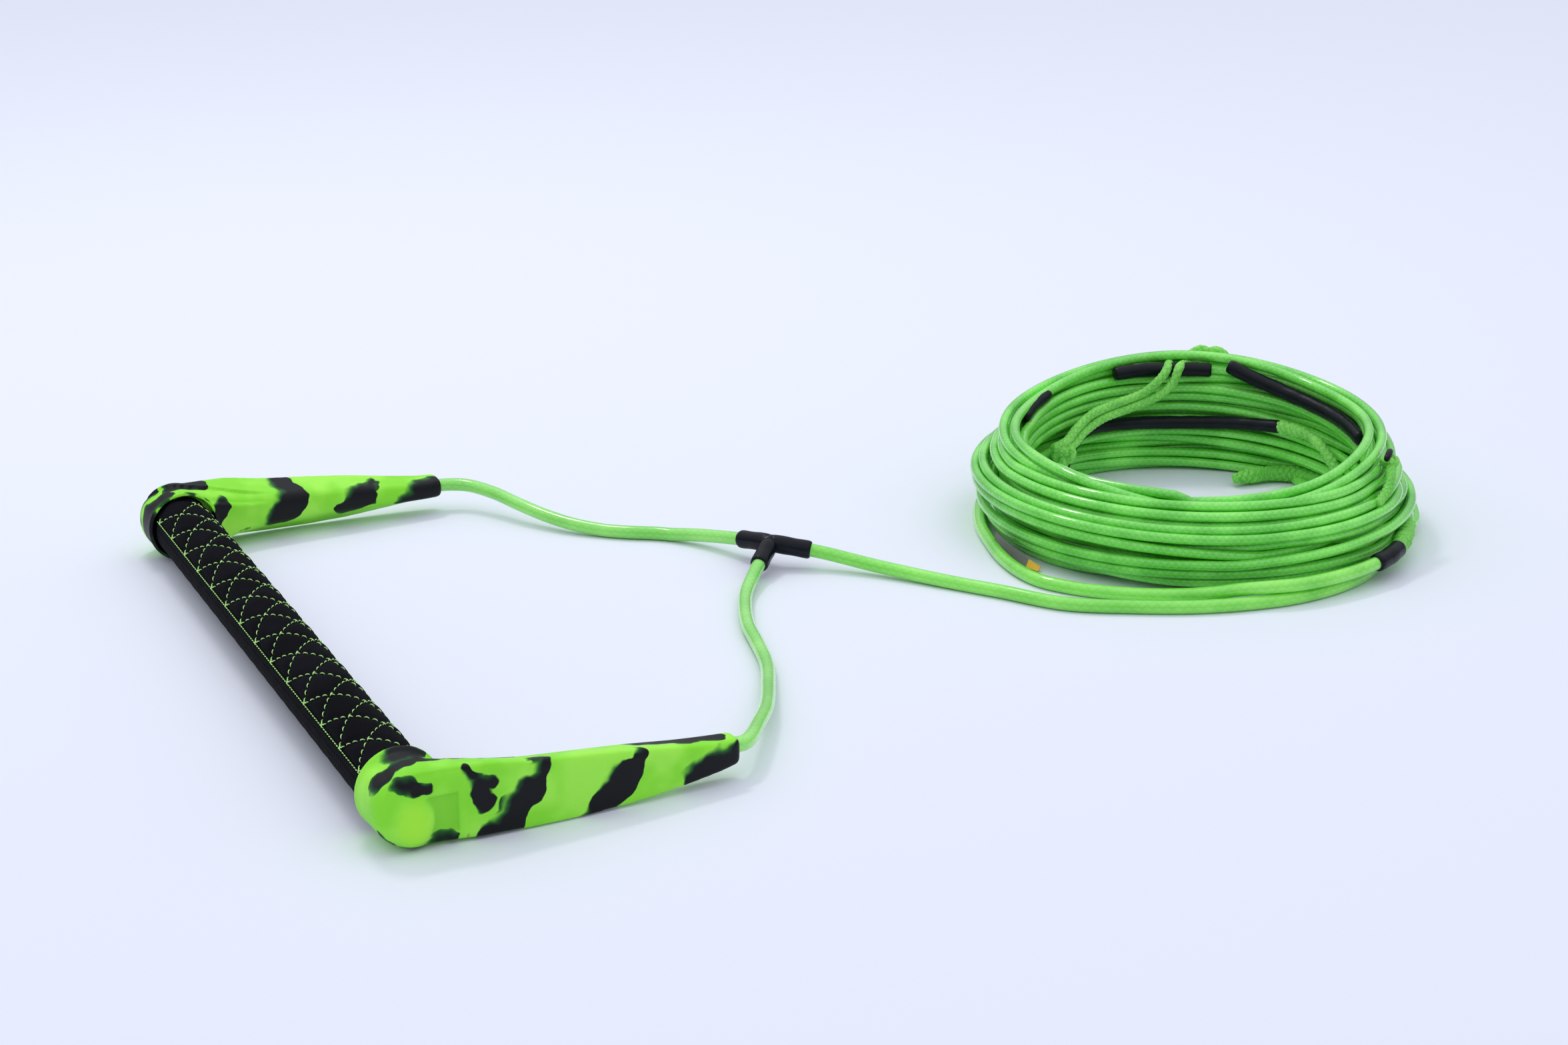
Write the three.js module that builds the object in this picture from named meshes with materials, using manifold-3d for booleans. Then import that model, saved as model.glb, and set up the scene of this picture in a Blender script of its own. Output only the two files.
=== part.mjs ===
// Wakeboard tow handle with its bridle, lead and coiled main line, lying on a flat surface.
// Millimetres, +Z up. The bar lies along Y, its arms and the rope run towards +X.
// The origin is at the bottom centre of the handle's own box (bar and arms, without the rope).
import * as THREE from "three";
import { mergeVertices } from "three/addons/utils/BufferGeometryUtils.js";
import Module from "manifold-3d";

const wasm = await Module();
wasm.setup();

// ---------- Driving dimensions ----------
const GAP = 0.3; // clearance between touching pieces
const ROPE_R = 3.0; // bridle, bar and lead rope
const CHANNEL_R = ROPE_R + 0.4; // bore that a rope runs in

const HALF_SPAN = 190; // bar centre to the outer face of an arm, a 15 inch handle
const CAP_R = 16.8; // round base of an arm, which rests on the surface on one of its facets
const CAP_SIDES = 36;
const AXIS_Z = CAP_R * Math.cos(Math.PI / CAP_SIDES); // height of the bar's axis
const RIM_DEPTH = 12.5; // pivot to the rim of the socket
const PIVOT_Y = HALF_SPAN - RIM_DEPTH;
const ARM_REACH = 134; // bar axis to the tip of an arm
const ARM_SKEW = THREE.MathUtils.degToRad(1.9); // both arms lie a little askew at rest
const BAR_X = -58.6; // puts the origin at the centre of the handle's box
const HANDLE_SHIFT_Y = -0.95; // the same along Y, for the skew of the arms
const ARM_SWING = THREE.MathUtils.degToRad(4); // flex of an arm either way

const TUBE_R = 11.1;
const TUBE_WALL = 1.5;
const TUBE_END_DEPTH = 5; // pivot to the end of the tube
const FOAM_R = 12.6;
const WRAP_R = 14.0;
const GRIP_END_DEPTH = 8.5; // pivot to the end of the grip, inside the socket
const PANEL_SEAMS = [20, 157]; // degrees round the bar from +X, between them lies the quilted panel

const SLEEVE_R = 4.3;
const SLEEVE_LENGTH = 15;

const COIL_CENTRE = new THREE.Vector2(409, 6.4);
const COIL_HEIGHT = 44;
const COIL_REAR = THREE.MathUtils.degToRad(60); // side on which the coil stands highest
const COIL_REAR_RISE = 21; // how much higher it stands there
const COIL_WALL_R = 82; // inner wall of the coil
const STACK_R = COIL_WALL_R - SLEEVE_R - GAP; // sleeves lie along the inner wall

// ---------- Materials ----------
function material(colour, roughness, metalness = 0) {
  return new THREE.MeshStandardMaterial({ color: colour, roughness, metalness });
}
const SILICONE = material(0x8cf03c, 0.5);
const BLACK_SUEDE = material(0x17171b, 0.95);
const BLACK_RUBBER = material(0x0f1014, 0.8);
const FOAM = material(0x222226, 0.9);
const ALUMINIUM = material(0xb9bcc0, 0.35, 1);
const HARD_PLASTIC = material(0x202226, 0.5);
const ROPE = material(0x4fbf3a, 0.7);
const COATED_LINE = material(0x58c83e, 0.25);
const SHRINK_TUBE = material(0x16181c, 0.3);
const TAG = material(0xe8b23a, 0.6);

// ---------- Shape helpers ----------
function mesh(name, geometry, surface) {
  const piece = new THREE.Mesh(geometry, surface);
  piece.name = name;
  return piece;
}

function toSolid(geometry) {
  const bare = geometry.clone();
  bare.deleteAttribute("normal");
  bare.deleteAttribute("uv");
  const merged = mergeVertices(bare, 1e-4);
  return new wasm.Manifold(
    new wasm.Mesh({
      numProp: 3,
      vertProperties: merged.attributes.position.array,
      triVerts: new Uint32Array(merged.index.array),
    }),
  );
}

function toGeometry(solid) {
  const { vertProperties, triVerts } = solid.getMesh();
  const geometry = new THREE.BufferGeometry();
  geometry.setAttribute("position", new THREE.BufferAttribute(new Float32Array(vertProperties), 3));
  geometry.setIndex(new THREE.BufferAttribute(new Uint32Array(triVerts), 1));
  geometry.computeVertexNormals();
  return geometry;
}

// A turned shape: profile is a list of [radius, position along the axis].
function turned(profile, segments) {
  const points = profile.map(([radius, along]) => new THREE.Vector2(radius, along));
  return new THREE.LatheGeometry(points, segments);
}

// A hollow straight tube along +Y, centred on the origin.
function hollowTube(outer, inner, length, segments = 24) {
  const half = length / 2;
  return turned([[inner, -half], [outer, -half], [outer, half], [inner, half], [inner, -half]], segments);
}

// A round cord or sleeve of radius r along a smooth curve through the points.
function cordAlong(points, radius, steps, sides = 8) {
  const section = new THREE.Shape();
  for (let i = 0; i < sides; i += 1) {
    const angle = (2 * Math.PI * i) / sides;
    const x = radius * Math.cos(angle);
    const y = radius * Math.sin(angle);
    if (i === 0) section.moveTo(x, y);
    else section.lineTo(x, y);
  }
  section.closePath();
  const path = new THREE.CatmullRomCurve3(points, false, "centripetal");
  return new THREE.ExtrudeGeometry(section, { steps, extrudePath: path, bevelEnabled: false });
}

function vectors(list) {
  return list.map(([x, y, z]) => new THREE.Vector3(x, y, z));
}

// A point beside the coil: angle in degrees from +X, distance from the coil's centre, height.
function atCoil(degrees, radius, z) {
  const angle = THREE.MathUtils.degToRad(degrees);
  const x = COIL_CENTRE.x + radius * Math.cos(angle);
  const y = COIL_CENTRE.y + radius * Math.sin(angle);
  return new THREE.Vector3(x, y, z);
}

// Points round the coil between two angles; heights are spread evenly over the arc.
function coilArc(fromDegrees, toDegrees, radius, heights, stepDegrees = 8) {
  const count = Math.max(3, Math.ceil(Math.abs(toDegrees - fromDegrees) / stepDegrees));
  const points = [];
  for (let i = 0; i <= count; i += 1) {
    const share = (i / count) * (heights.length - 1);
    const low = Math.min(Math.floor(share), heights.length - 2);
    const z = THREE.MathUtils.lerp(heights[low], heights[low + 1], share - low);
    points.push(atCoil(THREE.MathUtils.lerp(fromDegrees, toDegrees, i / count), radius, z));
  }
  return points;
}

// ---------- Bar and grip ----------
function makeBar() {
  const bar = new THREE.Group();
  bar.position.set(BAR_X, HANDLE_SHIFT_Y, AXIS_Z);

  const tubeLength = 2 * (PIVOT_Y - TUBE_END_DEPTH);
  bar.add(mesh("bar_tube", hollowTube(TUBE_R, TUBE_R - TUBE_WALL, tubeLength, 32), ALUMINIUM));

  const gripLength = 2 * (PIVOT_Y - GRIP_END_DEPTH);
  bar.add(mesh("grip_foam", hollowTube(FOAM_R, TUBE_R + GAP, gripLength, 32), FOAM));
  const [front, back] = PANEL_SEAMS;
  bar.add(makePanel("quilted_panel", front, back, gripLength, BLACK_SUEDE));
  bar.add(makePanel("perforated_panel", back, front + 360, gripLength, BLACK_RUBBER));

  const ropeLength = 2 * (PIVOT_Y - ROPE_R - 0.6);
  bar.add(mesh("bar_rope", new THREE.CylinderGeometry(ROPE_R, ROPE_R, ropeLength, 12), ROPE));

  for (const side of [1, -1]) {
    const plug = mesh(side > 0 ? "left_tube_plug" : "right_tube_plug", tubePlug(), HARD_PLASTIC);
    plug.position.y = side * (PIVOT_Y - TUBE_END_DEPTH);
    if (side < 0) plug.rotation.z = Math.PI;
    bar.add(plug);
  }
  return bar;
}

// One half of the wrap: a curved sheet between two seams, running the length of the grip.
function makePanel(name, fromDegrees, toDegrees, length, surface) {
  const inner = FOAM_R + GAP;
  const seamHalf = GAP / 2 / inner;
  const start = THREE.MathUtils.degToRad(fromDegrees) + seamHalf;
  const end = THREE.MathUtils.degToRad(toDegrees) - seamHalf;
  const shape = new THREE.Shape();
  shape.absarc(0, 0, WRAP_R, start, end, false);
  shape.absarc(0, 0, inner, end, start, true);
  shape.closePath();
  const sheet = new THREE.ExtrudeGeometry(shape, { depth: length, bevelEnabled: false, curveSegments: 20 });
  sheet.translate(0, 0, -length / 2);
  sheet.rotateX(Math.PI / 2);
  return mesh(name, sheet, surface);
}

// The plug closes an end of the tube and leads the rope out over its rounded lip.
function tubePlug() {
  const body = TUBE_R - TUBE_WALL - GAP;
  const flange = 1.0;
  return turned(
    [
      [CHANNEL_R, -22],
      [body, -22],
      [body, GAP],
      [TUBE_R, GAP],
      [TUBE_R - 0.6, flange],
      [CHANNEL_R, flange],
      [CHANNEL_R, -22],
    ],
    24,
  );
}

// ---------- Arms ----------
// Cross-sections along the arm: distance from the pivot, edges either side of the pivot's plane
// (outer and inner), and the low and high edge of the tall outer face and of the inner face.
const ARM_STATIONS = [
  { at: 0, outer: 12.2, inner: -10.5, outerFace: [0.2, 33.4], innerFace: [0.2, 33.4] },
  { at: 13, outer: 12.5, inner: -9.5, outerFace: [0.8, 32.4], innerFace: [3, 30] },
  { at: 29, outer: 12.5, inner: -7.6, outerFace: [1.5, 30.8], innerFace: [8, 25] },
  { at: 45, outer: 12.2, inner: -6.2, outerFace: [1, 28], innerFace: [10.5, 22.3] },
  { at: 67, outer: 11.8, inner: -5.2, outerFace: [1, 26], innerFace: [11.2, 20] },
  { at: 88, outer: 11.3, inner: -5, outerFace: [1.8, 24.4], innerFace: [11, 18] },
  { at: 110, outer: 10.7, inner: -4.4, outerFace: [4, 21.4], innerFace: [9.8, 17.2] },
  { at: 127, outer: 10, inner: -4, outerFace: [6.6, 18.6], innerFace: [9, 16.8] },
  { at: ARM_REACH, outer: 8.6, inner: -2.6, outerFace: [8, 18], innerFace: [8.8, 17.2] },
];
const TIP = ARM_STATIONS[ARM_STATIONS.length - 1];
const TIP_OFFSET = (TIP.outer + TIP.inner) / 2;
const TIP_HEIGHT = 13;

// An arm is one moulding: a round socket over the end of the bar, drawn out into a tapering arm.
function armGeometry(side) {
  const blade = taperedBlade(side);
  const collarProfile = [
    [0, -RIM_DEPTH],
    [CAP_R - 0.3, -RIM_DEPTH],
    [CAP_R, -RIM_DEPTH + 1.2],
    [CAP_R, RIM_DEPTH - 6],
    [CAP_R - 1.6, RIM_DEPTH - 2.4],
    [CAP_R - 5.5, RIM_DEPTH],
    [0, RIM_DEPTH],
  ];
  const lean = Math.sin(ARM_SKEW + ARM_SWING); // the socket's largest lean against the bar
  const slack = (depth, radius) => (radius + depth * lean + GAP) / Math.cos(Math.PI / CAP_SIDES);
  const gripDepth = GRIP_END_DEPTH - WRAP_R * lean - GAP;
  const cavityEnd = ROPE_R - 0.6;
  const cavityProfile = [
    [0, -RIM_DEPTH - 1],
    [slack(RIM_DEPTH + 1, WRAP_R), -RIM_DEPTH - 1],
    [slack(gripDepth, WRAP_R), -gripDepth],
    [slack(gripDepth, TUBE_R), -gripDepth],
    [slack(cavityEnd, TUBE_R), -cavityEnd],
    [0, -cavityEnd],
  ];
  const facetDown = Math.PI / CAP_SIDES;
  const collar = toSolid(turned(collarProfile, CAP_SIDES).rotateY(facetDown));
  const cavity = toSolid(turned(cavityProfile, CAP_SIDES));
  const facing = side > 0 ? 0 : Math.PI;
  const turn = new THREE.Matrix4().makeRotationZ(facing).elements;
  const channel = toSolid(ropeRun(side, -CHANNEL_R, ARM_REACH + 2, CHANNEL_R, 12));
  const solid = toSolid(blade)
    .add(collar.transform(Array.from(turn)))
    .subtract(cavity.transform(Array.from(turn)))
    .subtract(channel);
  return toGeometry(solid);
}

// The blade: a rounded bar whose section follows the stations.
function taperedBlade(side) {
  const corner = 0.34;
  const section = new THREE.Shape();
  section.moveTo(-1, -1 + corner);
  section.lineTo(-1, 1 - corner);
  section.quadraticCurveTo(-1, 1, -1 + corner, 1);
  section.lineTo(1 - corner, 1);
  section.quadraticCurveTo(1, 1, 1, 1 - corner);
  section.lineTo(1, -1 + corner);
  section.quadraticCurveTo(1, -1, 1 - corner, -1);
  section.lineTo(-1 + corner, -1);
  section.quadraticCurveTo(-1, -1, -1, -1 + corner);
  const steps = ARM_STATIONS.length - 1;
  const blade = new THREE.ExtrudeGeometry(section, { depth: steps, steps, bevelEnabled: false, curveSegments: 4 });
  const position = blade.attributes.position;
  for (let i = 0; i < position.count; i += 1) {
    const station = ARM_STATIONS[Math.round(position.getZ(i))];
    const outwards = (position.getX(i) * side + 1) / 2;
    const upwards = (position.getY(i) + 1) / 2;
    const low = THREE.MathUtils.lerp(station.innerFace[0], station.outerFace[0], outwards);
    const high = THREE.MathUtils.lerp(station.innerFace[1], station.outerFace[1], outwards);
    const y = side * THREE.MathUtils.lerp(station.inner, station.outer, outwards);
    position.setXYZ(i, station.at, y, THREE.MathUtils.lerp(low, high, upwards) - AXIS_Z);
  }
  return blade;
}

// A straight run of rope, or its bore, along the arm from the pivot towards the tip.
function ropeRun(side, from, to, radius, sides) {
  const along = (x) => {
    const share = x / ARM_REACH;
    return new THREE.Vector3(x, side * TIP_OFFSET * share, (TIP_HEIGHT - AXIS_Z) * share);
  };
  const start = along(from);
  const end = along(to);
  const direction = end.clone().sub(start);
  const run = new THREE.CylinderGeometry(radius, radius, direction.length(), sides);
  run.translate(0, direction.length() / 2, 0);
  const turn = new THREE.Quaternion();
  turn.setFromUnitVectors(new THREE.Vector3(0, 1, 0), direction.normalize());
  run.applyQuaternion(turn);
  run.translate(start.x, start.y, start.z);
  return run;
}

function makeArm(side) {
  const arm = new THREE.Group();
  arm.position.set(BAR_X, side * PIVOT_Y + HANDLE_SHIFT_Y, AXIS_Z);
  arm.rotation.z = ARM_SKEW;
  const name = side > 0 ? "left" : "right";
  const bridleDepth = 18;
  arm.add(mesh(`${name}_arm`, armGeometry(side), SILICONE));
  const rope = ropeRun(side, -ROPE_R + 0.2, ARM_REACH - bridleDepth - GAP, ROPE_R, 10);
  arm.add(mesh(`${name}_arm_rope`, rope, ROPE));
  return arm;
}

// ---------- Bridle ----------
const JUNCTION = new THREE.Vector3(191, 36, 12);
const LEFT_LEG = vectors([
  [57.3, 183.0, 13.5], [66.2, 183.5, 13.25], [74.8, 184, 13], [80, 183.5, 12.9], [89, 179, 12.6],
  [98, 166, 11.4], [106, 149, 9], [114, 135, 6.6], [123, 122, 4.8], [133, 112, 3.6],
  [144, 103, 3.3], [160, 92.5, 3.4], [173, 77, 5.5],
]);
const RIGHT_LEG = vectors([
  [57.4, -177.2, 13.5], [66.4, -177.1, 13.25], [76.5, -177, 12.95], [80, -176.2, 12.8], [86, -170, 12.1], [95, -157, 10.6],
  [108, -137, 8], [122, -109, 5], [133, -84, 3.5], [140, -59, 3.3],
  [145, -39, 3.3], [153, -18, 3.3], [162, 0, 4],
]);
const LEAD_START = new THREE.Vector3(206, 26, 9.5);
const SLEEVE_FOOT = {
  left: new THREE.Vector3(183, 56, 9),
  right: new THREE.Vector3(173, 16, 5.5),
};
const SHORT_OF_JUNCTION = 4.6;

// The last stretch of a leg runs straight through its sleeve and stops short of the junction.
function straightRun(from, length) {
  const direction = JUNCTION.clone().sub(from).normalize();
  const end = JUNCTION.clone().addScaledVector(direction, -SHORT_OF_JUNCTION);
  const start = end.clone().addScaledVector(direction, -length);
  return { start, end, direction };
}

function sleeveOn(name, run) {
  const sleeve = mesh(name, hollowTube(SLEEVE_R, ROPE_R + 0.6, SLEEVE_LENGTH, 16), SHRINK_TUBE);
  sleeve.position.copy(run.start).add(run.end).multiplyScalar(0.5);
  sleeve.quaternion.setFromUnitVectors(new THREE.Vector3(0, 1, 0), run.direction);
  return sleeve;
}

function makeBridle() {
  const bridle = new THREE.Group();
  const splice = new THREE.SphereGeometry(4, 16, 10);
  splice.translate(JUNCTION.x, JUNCTION.y, JUNCTION.z);
  bridle.add(mesh("y_splice", splice, SHRINK_TUBE));
  const legs = { left: LEFT_LEG, right: RIGHT_LEG };
  for (const [name, points] of Object.entries(legs)) {
    const run = straightRun(SLEEVE_FOOT[name], SLEEVE_LENGTH);
    const inside = [0.02, 0.35, 0.7, 1].map((share) => run.start.clone().lerp(run.end, share));
    bridle.add(mesh(`${name}_bridle`, cordAlong([...points, ...inside], ROPE_R, 34, 10), COATED_LINE));
    bridle.add(sleeveOn(`${name}_bridle_sleeve`, run));
  }
  return bridle;
}

// ---------- Lead: from the junction once round the foot of the coil ----------
const LEAD_APPROACH = vectors([
  [214, 20, 8], [230, 4, 5], [253, -26, 3.4], [269, -48, 3.3], [288, -75, 3.3], [314, -92, 3.3],
  [339, -104.5, 3.3], [364, -112, 3.3], [388, -114.5, 3.3], [412, -112, 3.3], [434, -103.5, 3.3], [450, -93, 3.3],
]);
const LEAD_RETURN = vectors([
  [306, 36, 3.3], [299, 15, 3.3], [293, -8, 3.3], [291, -28, 3.3], [293, -43, 3.3], [300, -56, 3.3],
  [309, -66, 3.3], [323, -78, 3.3], [340, -89, 3.6], [352, -97, 5.6], [362, -102.5, 8.4],
  [374, -108.5, 10], [388, -112.5, 10.4], [408, -113, 10.4], [426, -110, 10.3], [437, -106.7, 10.2],
]);
const LEAD_END_SLEEVE = vectors([[438, -106.4, 10.2], [445, -103.4, 10.3], [452, -99.6, 10.4], [458.6, -95.2, 10.6]]);
const LEAD_END_LOOP = vectors([[459.4, -94.6, 10.6], [466, -88.6, 10.8], [474, -80.6, 11], [482, -72, 11]]);

function makeLead() {
  const lead = new THREE.Group();
  const run = straightRun(LEAD_START, SLEEVE_LENGTH);
  const inside = [1, 0.6, 0.3, 0.02].map((share) => run.start.clone().lerp(run.end, share));
  const round = coilArc(-58, 152, 106.6, [3.3, 3.3], 10);
  const path = [...inside, ...LEAD_APPROACH, ...round, ...LEAD_RETURN];
  lead.add(mesh("lead_line", cordAlong(path, ROPE_R, 78, 10), ROPE));
  lead.add(sleeveOn("lead_sleeve", run));
  lead.add(mesh("lead_end_sleeve", cordAlong(LEAD_END_SLEEVE, SLEEVE_R, 5, 10), SHRINK_TUBE));
  lead.add(mesh("lead_end_loop", cordAlong(LEAD_END_LOOP, 3.9, 6, 10), ROPE));
  return lead;
}

// ---------- Main line: a loose coil, with its sleeves, loops and knots ----------
function coilGeometry() {
  const notchR = 102.6; // the lead lies round the foot of the coil, outside this radius
  const ring = turned(
    [
      [84, 0], [notchR, 0], [notchR, 15.4], [108, 16.6], [109, 21.5], [103, 30], [95.5, 36.5], [92, 43],
      [84, COIL_HEIGHT], [COIL_WALL_R, 39.5], [COIL_WALL_R, 9.5], [84, 0],
    ],
    48,
  );
  ring.rotateX(Math.PI / 2);
  const position = ring.attributes.position;
  for (let i = 0; i < position.count; i += 1) {
    const rearward = Math.cos(Math.atan2(position.getY(i), position.getX(i)) - COIL_REAR);
    const rise = (COIL_REAR_RISE / COIL_HEIGHT) * Math.max(0, rearward);
    position.setZ(i, position.getZ(i) * (1 + rise));
  }
  ring.translate(COIL_CENTRE.x, COIL_CENTRE.y, 0);
  return ring;
}

function makeCoil() {
  const coil = new THREE.Group();
  coil.add(mesh("main_coil", coilGeometry(), COATED_LINE));
  const sleeves = {
    back_sleeve: { arc: [22, 104], heights: [32.5, 29.7, 28.2, 28.6, 30.8] },
    rear_right_sleeve: { arc: [-14, 45], heights: [49.5, 53.3, 57.1, 59.6] },
    rear_left_sleeve: { arc: [51, 80], heights: [57.1, 55.4, 55.6] },
    side_sleeve: { arc: [119, 136], heights: [51.2, 53] },
  };
  for (const [name, { arc, heights }] of Object.entries(sleeves)) {
    const points = coilArc(arc[0], arc[1], STACK_R, heights);
    coil.add(mesh(name, cordAlong(points, SLEEVE_R - 0.3, 2 * points.length, 10), SHRINK_TUBE));
  }
  const splice = coilArc(21.6, -10, STACK_R, [32.5, 32.8, 29.6, 20]);
  coil.add(mesh("back_splice", cordAlong(splice, 3.4, 10, 10), ROPE));

  const loop = [
    atCoil(61, 69.2, 61.6), atCoil(67, 69.2, 51.5), atCoil(75, 69.2, 46.5), atCoil(84, 69.2, 43), atCoil(98, 69.2, 37.5),
    atCoil(109, 69.2, 35), atCoil(116, 69.8, 31.5), atCoil(118.6, 71, 28),
  ];
  coil.add(mesh("takeoff_loop", cordAlong(loop, 3.6, 14, 10), ROPE));
  const knot = new THREE.SphereGeometry(1, 14, 10);
  knot.scale(5.5, 4.5, 6);
  const knotAt = atCoil(119.5, 71.5, 19);
  knot.translate(knotAt.x, knotAt.y, knotAt.z);
  coil.add(mesh("takeoff_knot", knot, ROPE));

  const tail = vectors([
    [456, 41.5, 5], [463, 42.5, 5], [470, 41.5, 5], [476, 38, 5], [480, 31, 5], [481.5, 24, 5], [481, 16, 5],
  ]);
  coil.add(mesh("tail_end", cordAlong(tail, 4.6, 14, 10), ROPE));

  const sideKnot = new THREE.SphereGeometry(4, 12, 8);
  const sideKnotAt = atCoil(-49, 97.6, 41.8);
  sideKnot.translate(sideKnotAt.x, sideKnotAt.y, sideKnotAt.z);
  coil.add(mesh("side_knot", sideKnot, ROPE));

  const tagBearing = 196;
  const tagAt = atCoil(tagBearing, 114.3, 6.5);
  const tag = mesh("size_tag", new THREE.BoxGeometry(1.2, 11, 7.4), TAG);
  tag.position.copy(tagAt);
  tag.rotation.z = THREE.MathUtils.degToRad(tagBearing);
  coil.add(tag);
  return coil;
}

// ---------- Assembly ----------
const group = new THREE.Group();
group.add(makeBar(), makeArm(1), makeArm(-1), makeBridle(), makeLead(), makeCoil());
export default group;
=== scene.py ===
# Wakeboard tow handle with its bridle, lead and coiled towing line, on a pale floor.
# Lengths in this script are in millimetres until a mesh is made; Blender's own units are metres.
import math

import bmesh
import bpy
import numpy as np
from mathutils import Euler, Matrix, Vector


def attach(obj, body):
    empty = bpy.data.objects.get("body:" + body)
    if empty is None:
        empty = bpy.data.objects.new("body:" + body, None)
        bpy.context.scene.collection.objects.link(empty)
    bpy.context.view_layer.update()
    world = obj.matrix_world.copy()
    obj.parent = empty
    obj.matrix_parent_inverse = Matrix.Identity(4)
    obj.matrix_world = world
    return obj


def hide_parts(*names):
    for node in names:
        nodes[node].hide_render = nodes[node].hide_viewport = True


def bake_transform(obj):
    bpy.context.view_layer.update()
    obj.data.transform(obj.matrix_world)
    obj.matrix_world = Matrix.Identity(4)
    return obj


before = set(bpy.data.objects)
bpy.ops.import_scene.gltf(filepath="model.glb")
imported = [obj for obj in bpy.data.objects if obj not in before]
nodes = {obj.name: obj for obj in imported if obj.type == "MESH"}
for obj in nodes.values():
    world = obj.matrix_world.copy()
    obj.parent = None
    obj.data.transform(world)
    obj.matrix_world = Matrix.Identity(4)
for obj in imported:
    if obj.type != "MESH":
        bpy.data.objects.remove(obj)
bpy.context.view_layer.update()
scene = bpy.context.scene
MM = 0.001

# ---------- Driving dimensions: the handle's as in the frame, the ropes' over their coating ----------
BAR_X = -58.6
HANDLE_SHIFT_Y = -0.95
AXIS_Z = 16.736
PIVOT_Y = 177.5
ARM_SKEW = math.radians(1.9)
ARM_REACH = 134.0
LINE_D = 4.8
ROPE_D = 6.5
LEAD_D = 6.4
COIL_CENTRE = np.array([409.0, 6.4])
JUNCTION = np.array([191.0, 36.0, 12.0])


# ---------- Camera, light and floor ----------
def look():
    camera = bpy.data.objects.new("camera", bpy.data.cameras.new("camera"))
    scene.collection.objects.link(camera)
    camera.location = (-0.3355, -1.0894, 0.450)
    camera.rotation_euler = Euler((math.radians(71.0), 0.0, math.radians(-25.37)))
    camera.data.lens = 63.57
    camera.data.sensor_width = 36.0
    camera.data.clip_end = 50.0
    scene.camera = camera


def area_light(name, at, target, size, power, colour):
    light = bpy.data.lights.new(name, "AREA")
    light.shape = "RECTANGLE"
    light.size, light.size_y = size
    light.energy = power
    light.color = colour
    lamp = bpy.data.objects.new(name, light)
    scene.collection.objects.link(lamp)
    lamp.location = at
    lamp.rotation_euler = (Vector(target) - Vector(at)).to_track_quat("-Z", "Y").to_euler()


def studio():
    """Light from all sides and most from above, one lamp, and a pale paper floor."""
    world = bpy.data.worlds.new("studio")
    scene.world = world
    world.use_nodes = True
    tree = world.node_tree
    background = tree.nodes["Background"]
    split = tree.nodes.new("ShaderNodeSeparateXYZ")
    tree.links.new(tree.nodes.new("ShaderNodeTexCoord").outputs["Generated"], split.inputs[0])
    overhead = Value(tree, split.outputs["Z"]).ramp(-0.1, 1.0, "LINEAR")
    feed(tree, background.inputs["Color"], (0.90, 0.93, 1.0))
    feed(tree, background.inputs["Strength"], overhead * 1.16 + 0.14)
    area_light("overhead", (0.06, 0.84, 1.52), (0.36, 0.0, 0.0), (0.46, 0.16), 4.8, (1.0, 0.98, 0.95))

    bpy.ops.mesh.primitive_plane_add(size=12.0, location=(0.2, 2.0, 0.0))
    floor = bpy.context.object
    floor.name = "floor"
    paper, shader, tree = new_material("paper")
    grain = noise(tree, object_coords(tree), 900.0, 2.0)
    tint = mix_colour(tree, (0.83, 0.852, 0.945), (0.845, 0.867, 0.955), grain)
    dress(tree, shader, Base_Color=tint, Roughness=0.8, Specular_IOR_Level=0.1)
    floor.data.materials.append(paper)
    scene.view_settings.view_transform = "Standard"


# ---------- Shader helpers ----------
class Value:
    """A number in a node tree. Arithmetic on it adds Math nodes."""

    def __init__(self, tree, socket):
        self.tree = tree
        self.socket = socket

    def math(self, operation, *others):
        node = self.tree.nodes.new("ShaderNodeMath")
        node.operation = operation
        for slot, value in zip(node.inputs, (self, *others)):
            feed(self.tree, slot, value)
        return Value(self.tree, node.outputs[0])

    def __add__(self, other):
        return self.math("ADD", other)

    def __sub__(self, other):
        return self.math("SUBTRACT", other)

    def __mul__(self, other):
        return self.math("MULTIPLY", other)

    def __truediv__(self, other):
        return self.math("DIVIDE", other)

    def ramp(self, low, high, steps="SMOOTHSTEP"):
        """0 below low, 1 above high, smooth between."""
        node = self.tree.nodes.new("ShaderNodeMapRange")
        node.interpolation_type = steps
        for name, value in (("Value", self), ("From Min", low), ("From Max", high)):
            feed(self.tree, node.inputs[name], value)
        return Value(self.tree, node.outputs[0])


def feed(tree, slot, value):
    """Links a Value or another socket into a slot, or sets a number, vector or colour on it."""
    if isinstance(value, Value):
        value = value.socket
    if isinstance(value, bpy.types.NodeSocket):
        tree.links.new(value, slot)
    elif isinstance(value, tuple) and len(value) < len(slot.default_value):
        slot.default_value = (*value, 1.0)
    else:
        slot.default_value = value


def dress(tree, shader, **looks):
    """Feeds the shader's sockets, each named with _ for a space."""
    for name, value in looks.items():
        feed(tree, shader.inputs[name.replace("_", " ")], value)


def new_material(name):
    material = bpy.data.materials.new(name)
    material.use_nodes = True
    tree = material.node_tree
    return material, tree.nodes["Principled BSDF"], tree


def object_coords(tree):
    return tree.nodes.new("ShaderNodeTexCoord").outputs["Object"]


def uv_map(tree):
    return tree.nodes.new("ShaderNodeUVMap").outputs["UV"]


def uv_parts(tree):
    """A tube's UV as two Values: u once round, v along in millimetres."""
    split = tree.nodes.new("ShaderNodeSeparateXYZ")
    tree.links.new(uv_map(tree), split.inputs[0])
    return Value(tree, split.outputs["X"]), Value(tree, split.outputs["Y"])


def attribute(tree, name, output):
    node = tree.nodes.new("ShaderNodeAttribute")
    node.attribute_name = name
    return node.outputs[output]


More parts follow.
